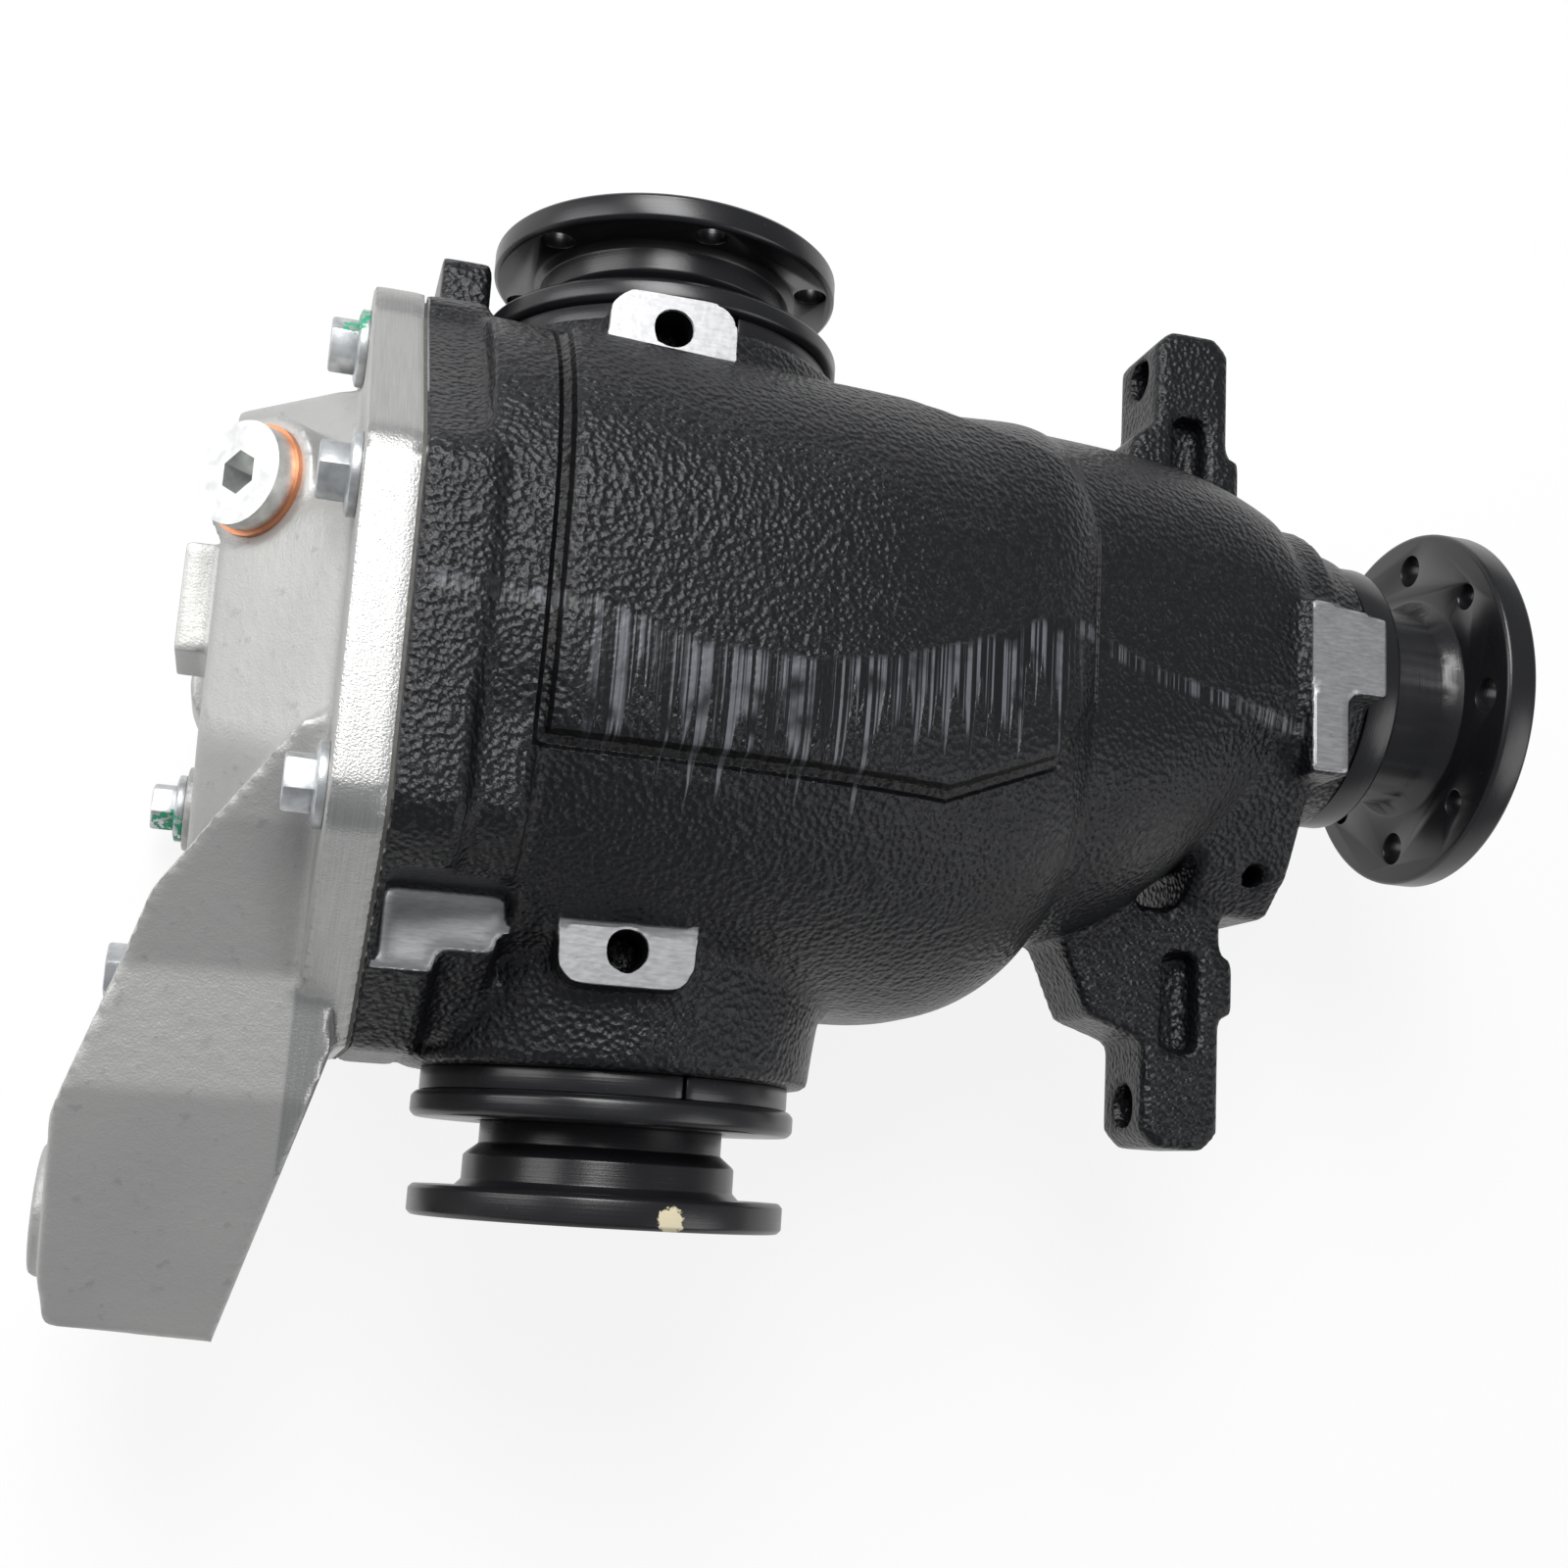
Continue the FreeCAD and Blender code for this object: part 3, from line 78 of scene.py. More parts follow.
class Wire:
    """A node socket that can be used in arithmetic."""

    def __init__(self, tree: bpy.types.NodeTree, socket: bpy.types.NodeSocket) -> None:
        """Wrap one output socket of a node tree."""
        self.tree = tree
        self.socket = socket

    def _sum(self, operation: str, first: object, second: object) -> "Wire":
        """Add a Math node on two values.

        Args:
            operation: The Math node's operation.
            first: A wire or a number.
            second: A wire or a number.

        Returns:
            The node's result.
        """
        node = self.tree.nodes.new("ShaderNodeMath")
        node.operation = operation
        for slot, value in zip(node.inputs, (first, second)):
            if isinstance(value, Wire):
                self.tree.links.new(value.socket, slot)
            else:
                slot.default_value = float(value)
        return Wire(self.tree, node.outputs[0])

    def __add__(self, other: object) -> "Wire":
        """Sum."""
        return self._sum("ADD", self, other)

    def __radd__(self, other: object) -> "Wire":
        """Sum, reflected."""
        return self._sum("ADD", other, self)

    def __sub__(self, other: object) -> "Wire":
        """Difference."""
        return self._sum("SUBTRACT", self, other)

    def __rsub__(self, other: object) -> "Wire":
        """Difference, reflected."""
        return self._sum("SUBTRACT", other, self)

    def __mul__(self, other: object) -> "Wire":
        """Product."""
        return self._sum("MULTIPLY", self, other)

    def __rmul__(self, other: object) -> "Wire":
        """Product, reflected."""
        return self._sum("MULTIPLY", other, self)

    def __truediv__(self, other: object) -> "Wire":
        """Quotient."""
        return self._sum("DIVIDE", self, other)

    def high(self, other: object) -> "Wire":
        """The larger of two values."""
        return self._sum("MAXIMUM", self, other)

    def low(self, other: object) -> "Wire":
        """The smaller of two values."""
        return self._sum("MINIMUM", self, other)

    def size(self) -> "Wire":
        """The value without its sign."""
        return self._sum("ABSOLUTE", self, 0.0)


class Finish:
    """A material under construction, with one method for any kind of node."""

    def __init__(self, name: str) -> None:
        """Start an empty material with that name."""
        self.material = bpy.data.materials.new(name)
        self.material.use_nodes = True
        self.tree = self.material.node_tree
        self.tree.nodes.clear()
        texture = self.tree.nodes.new("ShaderNodeTexCoord")
        self.place = Wire(self.tree, texture.outputs["Object"])
        parts = self.node("ShaderNodeSeparateXYZ", {}, {0: self.place})
        self.x, self.y, self.z = (Wire(self.tree, parts.outputs[i]) for i in range(3))

    def node(self, kind: str, settings: dict, sockets: dict) -> bpy.types.Node:
        """Add a node.

        Args:
            kind: The node's type.
            settings: Its own properties, and under "stops" a ramp's positions and colours.
            sockets: Values or wires by input name or number.

        Returns:
            The node.
        """
        node = self.tree.nodes.new(kind)
        for key, value in settings.items():
            if key == "stops":
                ramp = node.color_ramp.elements
                while len(ramp) < len(value):
                    ramp.new(1.0)
                for element, (position, colour) in zip(ramp, value):
                    element.position = position
                    element.color = colour
            else:
                setattr(node, key, value)
        for key, value in sockets.items():
            if isinstance(value, Wire):
                self.tree.links.new(value.socket, node.inputs[key])
            else:
                node.inputs[key].default_value = value
        return node

    def out(self, node: bpy.types.Node, key: object = 0) -> Wire:
        """One output of a node."""
        return Wire(self.tree, node.outputs[key])

    def stretched(self, scale: Sequence[float]) -> Wire:
        """The place scaled differently along each axis.

        Args:
            scale: Factor along each axis.

        Returns:
            The scaled place.
        """
        node = self.node("ShaderNodeMapping", {}, {"Vector": self.place, "Scale": scale})
        return self.out(node)

    def noise(self, scale: float, detail: float = 2.0, place: "Wire | None" = None,
              rough: float = 0.5) -> Wire:
        """Cloudy noise from 0 to 1.

        Args:
            scale: Cells per metre.
            detail: Octaves.
            place: Where it is read, or the object's own place.
            rough: Strength of the finer octaves.

        Returns:
            The noise value.
        """
        sockets = {"Vector": place or self.place, "Scale": scale, "Detail": detail, "Roughness": rough}
        return self.out(self.node("ShaderNodeTexNoise", {}, sockets), 0)

    def cells(self, scale: float, place: "Wire | None" = None) -> Wire:
        """Distance to the nearest of scattered points."""
        sockets = {"Vector": place or self.place, "Scale": scale, "Smoothness": 0.6}
        return self.out(self.node("ShaderNodeTexVoronoi", {"feature": "SMOOTH_F1"}, sockets), "Distance")

    def share(self, value: Wire, low: float, high: float) -> Wire:
        """A value as 0 at low and 1 at high."""
        return (value - low) / (high - low)

    def step(self, value: Wire, low: float, high: float) -> Wire:
        """A smooth rise from 0 at low to 1 at high."""
        node = self.node("ShaderNodeMapRange", {"interpolation_type": "SMOOTHSTEP"},
                         {"Value": value, "From Min": low, "From Max": high})
        return self.out(node)

    def band(self, value: Wire, low: float, high: float, soft: float) -> Wire:
        """1 between two values and 0 beyond them, with soft edges."""
        return self.step(value, low - soft, low + soft) * (1 - self.step(value, high - soft, high + soft))

    def inside(self, low: Vector, high: Vector, soft: float) -> Wire:
        """1 inside a box and 0 outside it, with soft edges."""
        mask = self.band(self.x, low.x, high.x, soft)
        mask = mask * self.band(self.y, low.y, high.y, soft)
        return mask * self.band(self.z, low.z, high.z, soft)

    def mix(self, factor: "Wire | float", first: object, second: object) -> Wire:
        """A colour between two colours.

        Args:
            factor: 0 for the first, 1 for the second.
            first: A colour or a wire.
            second: A colour or a wire.

        Returns:
            The mixed colour.
        """
        node = self.node("ShaderNodeMix", {"data_type": "RGBA"}, {0: factor})
        for index, value in ((6, first), (7, second)):
            if isinstance(value, Wire):
                self.tree.links.new(value.socket, node.inputs[index])
            else:
                node.inputs[index].default_value = (*value, 1.0)
        return self.out(node, 2)

    def bump(self, height: Wire, distance: float) -> Wire:
        """A surface relief.

        Args:
            height: Height from 0 to 1.
            distance: Depth of the relief in metres.

        Returns:
            The normal.
        """
        return self.out(self.node("ShaderNodeBump", {}, {"Height": height, "Distance": distance}))

    def finish(self, constants: dict, varying: dict) -> bpy.types.Material:
        """Close the material with one surface shader.

        Args:
            constants: Plain socket values.
            varying: Wires by socket name.

        Returns:
            The material.
        """
        shader = self.node("ShaderNodeBsdfPrincipled", {}, {**constants, **varying})
        self.node("ShaderNodeOutputMaterial", {}, {"Surface": self.out(shader)})
        return self.material


@dataclass(frozen=True)
class CaseCoat:
    """Black paint over rough cast iron, ground along the parting line, bare where machined."""

    paint: tuple = (0.0035, 0.0037, 0.0048)
    worn: tuple = (0.15, 0.155, 0.17)
    bare: tuple = (0.50, 0.50, 0.505)
    bare_dark: tuple = (0.27, 0.27, 0.275)
    relief: float = 0.00070
    specular: float = 0.36

    def material(self) -> bpy.types.Material:
        """Build the coat.

        Returns:
            The material.
        """
        ink = Finish("case_coat")
        bend = ink.noise(120.0, 2.0)
        grain = ink.cells(560.0) * 0.9 + ink.noise(700.0, 3.0, rough=0.65) * 0.5
        seam = self.seam(ink)
        away = (ink.y - seam) * -1.0
        streak = ink.noise(1.0, 1.0, ink.stretched((820.0, 5.0, 5.0)), 0.7)
        reach = ink.noise(1.0, 2.0, ink.stretched((260.0, 2.0, 2.0)))
        along = ink.band(ink.x, -0.262, 0.012, 0.004)
        top = ink.step(ink.z, 0.030, 0.045)
        near = ink.band(away, -0.0005, 0.004, 0.0012)
        depth = 0.006 + 0.034 * ink.step(reach, 0.30, 0.72)
        far = ink.step(away, -0.001, 0.002) * (1 - ink.step(away - depth, -0.003, 0.003))
        far = far * ink.band(ink.x, -0.222, -0.082, 0.006)
        ground = (near * 0.8).high(far) * along * top
        scratch = ground * ink.step(streak, 0.46, 0.60) * ink.step(ink.noise(90.0, 2.0), 0.30, 0.55)
        pads = self.pads(ink)
        brushed = ink.noise(1.0, 2.0, ink.stretched((260.0, 1400.0, 260.0)), 0.6)
        colour = ink.mix(bend * 0.35, self.paint, (0.007, 0.0075, 0.010))
        colour = ink.mix(scratch * 0.8, colour, self.worn)
        metal = ink.mix(brushed, self.bare_dark, self.bare)
        colour = ink.mix(pads, colour, metal)
        # painted shade: the coat is darkened almost to black in the groove on the top faces; the same mask
        # also cuts the groove's bump relief
        groove_and_shade = self.groove_and_shade(ink) * top
        colour = ink.mix(groove_and_shade * 0.6, colour, (0.001, 0.001, 0.001))
        rough = 0.40 - 0.10 * bend
        rough = rough * (1 - pads) + pads * (0.34 + 0.15 * brushed)
        height = grain * (1 - ground * 0.75) + streak * ground * 0.35 - groove_and_shade * 3.0
        relief = ink.bump(height * (1 - pads * 0.96), self.relief)
        varying = {"Base Color": colour, "Roughness": rough, "Metallic": pads * 0.85, "Normal": relief}
        return ink.finish({"Specular IOR Level": self.specular}, varying)

    def seam(self, ink: Finish) -> Wire:
        """Where the parting line runs across the top, as a y for each x.

        Args:
            ink: The material.

        Returns:
            The line's y.
        """
        low, high = -0.270, 0.020
        points = ((-0.270, -0.011), (-0.250, -0.011), (-0.222, -0.013), (-0.195, -0.020), (-0.165, -0.021),
                  (-0.140, -0.016), (-0.115, -0.006), (-0.090, 0.006), (-0.068, 0.008), (-0.045, 0.002),
                  (0.0, -0.004), (0.020, -0.006))
        stops = [((x - low) / (high - low), (level, level, level, 1.0))
                 for x, level in ((x, (y + 0.05) / 0.1) for x, y in points)]
        ramp = ink.node("ShaderNodeValToRGB", {"stops": stops}, {0: ink.share(ink.x, low, high)})
        return ink.out(ramp) * 0.1 - 0.05

    def groove_and_shade(self, ink: Finish) -> Wire:
        """Groove at the foot of the raised panel's edge, where the coat is also darkened as painted shade.

        Args:
            ink: The material.

        Returns:
            1 in the groove and 0 beside it.
        """
        outline = ((-40, -66), (70, -66), (104, -52), (119, -30),
                   (119, 22), (108, 40), (60, 52), (-40, 52))
        depth = None
        for first, second in zip(outline, outline[1:] + outline[:1]):
            start, end = at(*first, 0), at(*second, 0)
            along = (end - start).normalized()
            reach = (ink.y - start.y) * along.x - (ink.x - start.x) * along.y
            depth = reach if depth is None else depth.low(reach)
        return 1 - ink.step((depth + 0.0012).size(), 0.0008, 0.0022)

    def pads(self, ink: Finish) -> Wire:
        """Where the casting is machined bare.

        Args:
            ink: The material.

        Returns:
            1 on bare metal, 0 on paint.
        """
        soft = 0.0003
        mask = ink.inside(at(-27.6, 49.0, 67.3), at(9.6, 71.6, 69.0), soft)
        mask = mask.high(ink.inside(at(-27.6, -124.1, 67.3), at(9.6, -101.5, 69.0), soft))
        mask = mask.high(ink.inside(at(199.0, -40.5, 55.3), at(226.5, 16.5, 57.0), soft))
        mask = mask.high(ink.inside(at(-74.5, -124.0, 61.3), at(-39.5, -101.0, 63.0), soft))
        mask = mask.high(ink.inside(at(-72.0, 96.0, -13.0), at(-55.0, 98.5, 13.0), soft))
        mask = mask.high(ink.inside(at(-72.0, 80.0, -13.0), at(-53.0, 98.5, 13.0), soft) * 0.35)
        return mask.high(ink.inside(at(-77.0, -160.0, -120.0), at(-75.6, 110.0, 120.0), soft))


@dataclass(frozen=True)
class CastAluminium:
    """Bare cast aluminium with a sandy skin, and brushed where it was machined."""

    colour: tuple = (0.36, 0.36, 0.35)
    pale: tuple = (0.46, 0.455, 0.44)
    pitted: tuple = (0.24, 0.24, 0.235)
    line_dark: tuple = (0.28, 0.28, 0.275)
    line_pale: tuple = (0.50, 0.50, 0.49)
    relief: float = 0.00030

    def material(self) -> bpy.types.Material:
        """Build the metal.

        Returns:
            The material.
        """
        ink = Finish("cover_aluminium")
        cloud = ink.noise(28.0, 3.0)
        sand = ink.noise(1500.0, 2.0)
        pit = ink.noise(260.0, 2.0)
        lines = ink.noise(1.0, 2.0, ink.stretched((2600.0, 60.0, 60.0)), 0.6)
        edge = ink.band(ink.x, at(-92, 0, 0).x, at(-76.5, 0, 0).x, 0.0006)
        facing = ink.step(self.turned(ink), 0.25, 0.45)
        rim = edge * facing
        colour = ink.mix(cloud, self.colour, self.pale)
        colour = ink.mix(ink.step(pit, 0.62, 0.75) * 0.35, colour, self.pitted)
        colour = ink.mix(rim * 0.8, colour, ink.mix(lines, self.line_dark, self.line_pale))
        rough = 0.52 - 0.10 * cloud - 0.12 * rim
        relief = ink.bump(sand * 0.4 + pit * 0.6 * (1 - rim), self.relief)
        return ink.finish({"Specular IOR Level": 0.5},
                          {"Base Color": colour, "Roughness": rough, "Metallic": 0.55 + 0.25 * rim,
                           "Normal": relief})

    def turned(self, ink: Finish) -> Wire:
        """How far a face is turned away from the joint's normal, 0 along it and 1 across it.

        Args:
            ink: The material.

        Returns:
            The share.
        """
        normal = ink.out(ink.node("ShaderNodeNewGeometry", {}, {}), "Normal")
        parts = ink.node("ShaderNodeSeparateXYZ", {}, {0: normal})
        return 1 - ink.out(parts, 0).size()


@dataclass(frozen=True)
class BlackSteel:
    """Gloss black over turned steel, with fine turning lines."""

    name: str
    axis: Axis
    gloss: float = 0.20
    chip: "Vector | None" = None

    def material(self) -> bpy.types.Material:
        """Build the coat.

        Returns:
            The material.
        """
        ink = Finish(self.name)
        scale = tuple(2200.0 if part else 25.0 for part in self.axis.value)
        lines = ink.noise(1.0, 2.0, ink.stretched(scale), 0.6)
        cloud = ink.noise(60.0, 3.0)
        specks = ink.step(ink.noise(900.0, 2.0), 0.70, 0.78)
        colour = ink.mix(cloud * 0.5, (0.006, 0.006, 0.007), (0.014, 0.014, 0.016))
        colour = ink.mix(specks * 0.25, colour, (0.10, 0.10, 0.10))
        rough = self.gloss + 0.14 * cloud + 0.05 * lines
        if self.chip is not None:
            spot = ink.node("ShaderNodeVectorMath", {"operation": "DISTANCE"},
                            {0: ink.place, 1: self.chip})
            ragged = ink.out(spot, "Value") + 0.004 * ink.noise(700.0, 3.0)
            flake = 1 - ink.step(ragged, 0.0052, 0.0058)
            colour = ink.mix(flake, colour, (0.62, 0.55, 0.38))
            rough = rough * (1 - flake) + flake * 0.7
        relief = ink.bump(lines * 0.6 + ink.noise(1300.0, 2.0) * 0.2, 0.00006)
        return ink.finish({"Specular IOR Level": 0.5},
                          {"Base Color": colour, "Roughness": rough, "Normal": relief})


@dataclass(frozen=True)
class PlatedSteel:
    """Zinc plate, slightly cloudy, with dabs of inspection paint where asked."""

    name: str
    colour: tuple = (0.62, 0.64, 0.65)
    dull: tuple = (0.40, 0.41, 0.42)
    rough: float = 0.30
    dabs: tuple = ()

    def material(self) -> bpy.types.Material:
        """Build the plate.

        Returns:
            The material.
        """
        ink = Finish(self.name)
        cloud = ink.noise(240.0, 3.0)
        grain = ink.noise(2400.0, 2.0)
        colour = ink.mix(ink.step(cloud, 0.3, 0.75), self.colour, self.dull)
        rough = self.rough + 0.18 * cloud
        metal = 0.9 - 0.1 * cloud
        for centre, radius in self.dabs:
            spot = ink.node("ShaderNodeVectorMath", {"operation": "DISTANCE"}, {0: ink.place, 1: centre})
            ragged = ink.out(spot, "Value") + 0.005 * ink.noise(420.0, 3.0)
            dab = 1 - ink.step(ragged, radius, radius + 0.0006)
            dab = dab * ink.step(ink.noise(520.0, 2.0), 0.44, 0.50)
            colour = ink.mix(dab, colour, (0.02, 0.30, 0.16))
            metal = metal * (1 - dab)
        relief = ink.bump(grain, 0.00004)
        varying = {"Base Color": colour, "Roughness": rough, "Metallic": metal, "Normal": relief}
        return ink.finish({}, varying)


@dataclass(frozen=True)
class PlainMetal:
    """Uncoated metal with fine lines of the tool that cut it."""

    name: str
    colour: tuple
    dark: tuple
    rough: float = 0.3
    grain: float = 1800.0

    def material(self) -> bpy.types.Material:
        """Build the metal.

        Returns:
            The material.
        """
        ink = Finish(self.name)
        cloud = ink.noise(90.0, 3.0)
        grain = ink.noise(self.grain, 2.0)
        colour = ink.mix(cloud, self.colour, self.dark)
        relief = ink.bump(grain, 0.00004)
        return ink.finish({"Metallic": 1.0}, {"Base Color": colour, "Roughness": self.rough + 0.15 * cloud,
                                              "Normal": relief})


@dataclass(frozen=True)
class Rubber:
    """Dull moulded rubber."""

    name: str = "seal_rubber"
    colour: tuple = (0.018, 0.014, 0.012)

    def material(self) -> bpy.types.Material:
        """Build the rubber.

        Returns:
            The material.
        """
        ink = Finish(self.name)
        cloud = ink.noise(300.0, 3.0)
        colour = ink.mix(cloud, self.colour, (0.04, 0.032, 0.028))
        return ink.finish({}, {"Base Color": colour, "Roughness": 0.5 + 0.2 * cloud,
                               "Normal": ink.bump(ink.noise(1500.0, 2.0), 0.00005)})


# Modelling


class Bench:
    """Modelling steps that several pieces share."""

    @staticmethod
    def clear() -> None:
        """Deselect everything."""
        if bpy.context.object is not None and bpy.context.object.mode != "OBJECT":
            bpy.ops.object.mode_set(mode="OBJECT")
        bpy.ops.object.select_all(action="DESELECT")

    @staticmethod
    def pick(piece: bpy.types.Object) -> None:
        """Select one piece alone."""
        Bench.clear()
        piece.select_set(True)
        bpy.context.view_layer.objects.active = piece

    @staticmethod
    def copy_of(node: str, name: str) -> bpy.types.Object:
        """Copy a node's mesh as a new piece with its triangles joined.

        Args:
            node: The node.
            name: The new piece's name.

        Returns:
            The piece.
        """
        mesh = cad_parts[node].data.copy()
        mesh.materials.clear()
        piece = bpy.data.objects.new(name, mesh)
        bpy.context.scene.collection.objects.link(piece)
        Bench.pick(piece)
        bpy.ops.object.mode_set(mode="EDIT")
        bpy.ops.mesh.select_all(action="SELECT")
        bpy.ops.mesh.remove_doubles(threshold=1e-6)
        bpy.ops.object.mode_set(mode="OBJECT")
        return piece

    @staticmethod
    def modify(piece: bpy.types.Object, kind: str, **settings: object) -> None:
        """Add a modifier and apply it.

        Args:
            piece: The piece.
            kind: The modifier's type.
            settings: Its properties.
        """
        Bench.pick(piece)
        modifier = piece.modifiers.new(kind.lower(), kind)
        for key, value in settings.items():
            setattr(modifier, key, value)
        bpy.ops.object.modifier_apply(modifier=modifier.name)

    @staticmethod
    def smooth_shade(piece: bpy.types.Object, angle: float = 35.0) -> None:
        """Shade a piece smooth below an angle in degrees."""
        Bench.pick(piece)
        bpy.ops.object.shade_smooth_by_angle(angle=math.radians(angle))

    @staticmethod
    def dress(piece: bpy.types.Object, finish: bpy.types.Material) -> None:
        """Give a piece one material."""
        piece.data.materials.clear()
        piece.data.materials.append(finish)


class Casting:
    """A cast piece whose edges are rounded as the mould leaves them."""

    def skin(self, node: str, name: str, voxel: float, passes: int,
             flats: Sequence[tuple[Vector, Vector, int, float]]) -> bpy.types.Object:
        """Copy a node, round its edges and press its machined faces flat again.

        Args:
            node: The node that is copied.
            name: The piece's name.
            voxel: Size of the remesh in metres.
            passes: Rounds of smoothing.
            flats: Boxes with the axis and the level that their points are pressed to.

        Returns:
            The piece.
        """
        piece = Bench.copy_of(node, name)
        Bench.modify(piece, "REMESH", mode="VOXEL", voxel_size=voxel, use_smooth_shade=True)
        Bench.modify(piece, "SMOOTH", factor=0.5, iterations=passes)
        for vertex in piece.data.vertices:
            for low, high, axis, level in flats:
                if all(low[i] <= vertex.co[i] <= high[i] for i in range(3)):
                    vertex.co[axis] = level
        Bench.smooth_shade(piece, 40.0)
        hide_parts(node)
        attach(piece, "housing")
        log.info("%s: %d faces", name, len(piece.data.polygons))
        return piece


@dataclass
class CaseCasting(Casting):
    """The main casting."""

    voxel: float = 0.0017
    passes: int = 5
    pad_top: float = 68.0
    nose_pad_top: float = 56.0
    joint: float = -76.0

    def build(self) -> None:
        """Model and dress the casting."""
        top, nose_top = self.pad_top, self.nose_pad_top
        flats = [
            (at(-28, 48, top - 1.2), at(10, 72, top + 1), 2, top * MM),
            (at(-28, -125, top - 1.2), at(10, -101, top + 1), 2, top * MM),
            (at(198, -41, nose_top - 1), at(227, 17, nose_top + 1), 2, nose_top * MM),
            (at(self.joint - 1, -160, -130), at(self.joint + 0.9, 110, 130), 0, at(self.joint, 0, 0).x),
        ]
        piece = self.skin("case", "case_casting", self.voxel, self.passes, flats)
        Bench.dress(piece, CaseCoat().material())


@dataclass
class CoverCasting(Casting):
    """The aluminium cover with its arm."""

    voxel: float = 0.0014
    passes: int = 4
    face: float = -77.0

    def build(self) -> None:
        """Model and dress the cover."""
        flats = [(at(self.face - 0.9, -160, -130), at(self.face + 1, 110, 130), 0, at(self.face, 0, 0).x)]
        piece = self.skin("rear_cover", "cover_casting", self.voxel, self.passes, flats)
        Bench.dress(piece, CastAluminium().material())


@dataclass
class CoverScrews:
    """Flanged hexagon bolts of the cover."""

    flange_radius: float = 11.0
    flange_height: float = 2.4
    hex_radius: float = 8.0
    hex_height: float = 8.0
    shank_radius: float = 4.9
    tip: float = -56.0
    short_seat: float = -91.0
    long_seat: float = -130.0
    short_places: tuple = ((54, 36), (-3, 92), (-83, 92), (54, -36), (-3, -92))
    long_places: tuple = ((-127, 28), (-127, -36), (-62, -92))

    def head(self, name: str) -> bpy.types.Object:
        """Model one bolt along +X with its seat at zero.

        Args:
            name: The piece's name.

        Returns:
            The bolt, head towards -X.
        """
        Bench.clear()
        middle = self.flange_height + self.hex_height / 2
        bpy.ops.mesh.primitive_cylinder_add(vertices=6, radius=self.hex_radius * MM,
                                            depth=self.hex_height * MM,
                                            location=(-middle * MM, 0, 0), rotation=(0, math.pi / 2, 0))
        hexagon = bpy.context.object
        Bench.modify(hexagon, "BEVEL", width=0.0009, segments=2, limit_method="ANGLE")
        Bench.clear()
        bpy.ops.mesh.primitive_cylinder_add(vertices=64, radius=self.flange_radius * MM,
                                            depth=self.flange_height * MM,
                                            location=(-self.flange_height / 2 * MM, 0, 0),
                                            rotation=(0, math.pi / 2, 0))
        flange = bpy.context.object
        Bench.pick(flange)
        bpy.ops.object.transform_apply(location=True, rotation=True, scale=True)
        bpy.ops.object.mode_set(mode="EDIT")
        bpy.ops.mesh.select_all(action="DESELECT")
        bpy.ops.object.mode_set(mode="OBJECT")
        for polygon in flange.data.polygons:
            polygon.select = polygon.normal.x < -0.9
        bpy.ops.object.mode_set(mode="EDIT")
        bpy.ops.mesh.select_mode(type="FACE")
        bpy.ops.mesh.inset(thickness=2.2 * MM)
        bpy.ops.transform.translate(value=(-0.7 * MM, 0, 0))
        bpy.ops.object.mode_set(mode="OBJECT")
        Bench.modify(flange, "BEVEL", width=0.0004, segments=2, limit_method="ANGLE")
        Bench.clear()
        for piece in (hexagon, flange):
            piece.select_set(True)
        bpy.context.view_layer.objects.active = hexagon
        bpy.ops.object.join()
        hexagon.name = name
        Bench.pick(hexagon)
        bpy.ops.object.transform_apply(location=True, rotation=True, scale=True)
        Bench.smooth_shade(hexagon, 30.0)
        return hexagon

    def shank(self, length: float) -> bpy.types.Object:
        """Model one bolt shank from the seat forward.

        Args:
            length: Its length in millimetres.

        Returns:
            The shank.
        """
        Bench.clear()
        bpy.ops.mesh.primitive_cylinder_add(vertices=32, radius=self.shank_radius * MM, depth=length * MM,
                                            location=(length / 2 * MM, 0, 0), rotation=(0, math.pi / 2, 0))
        piece = bpy.context.object
        Bench.pick(piece)
        bpy.ops.object.transform_apply(location=True, rotation=True, scale=True)
        Bench.modify(piece, "BEVEL", width=0.0008, segments=1, limit_method="ANGLE")
        return piece

    def row(self, name: str, node: str, seat: float, places: Iterable[tuple[float, float]],
            finish: bpy.types.Material) -> None:
        """Place copies of one bolt.

        Args:
            name: Stem of the pieces' names.
            node: The node that they stand for.
            seat: The x of their seat from the gear centre.
            places: The y and z of each.
            finish: Their material.
        """
        model = self.head(name + "_model")
        shank = self.shank(self.tip - seat)
        Bench.clear()
        shank.select_set(True)
        model.select_set(True)
        bpy.context.view_layer.objects.active = model
        bpy.ops.object.join()
        pieces = []
        for number, (y, z) in enumerate(places, 1):
            mesh = model.data.copy()
            turn = Matrix.Rotation(math.radians(17.0 * number), 4, "X")
            mesh.transform(Matrix.Translation(at(seat, y, z)) @ turn)
            piece = bpy.data.objects.new(f"{name}_{number}", mesh)
            bpy.context.scene.collection.objects.link(piece)
            Bench.dress(piece, finish)
            pieces.append(piece)
            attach(piece, "housing")
            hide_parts(node)
        bpy.data.objects.remove(model)
        log.info("%s: %d bolts", name, len(pieces))

    def build(self) -> None:
        """Model and dress all the cover's bolts."""
        dabs = ((at(-96, 60, 45), 0.0072), (at(-94, 62, 33), 0.0055), (at(-134, -70, -86), 0.0085))
        finish = PlatedSteel("bolt_zinc", dabs=dabs).material()
        self.row("cover_bolt", "cover_bolts", self.short_seat, self.short_places, finish)
        self.row("long_bolt", "long_cover_bolts", self.long_seat, self.long_places, finish)


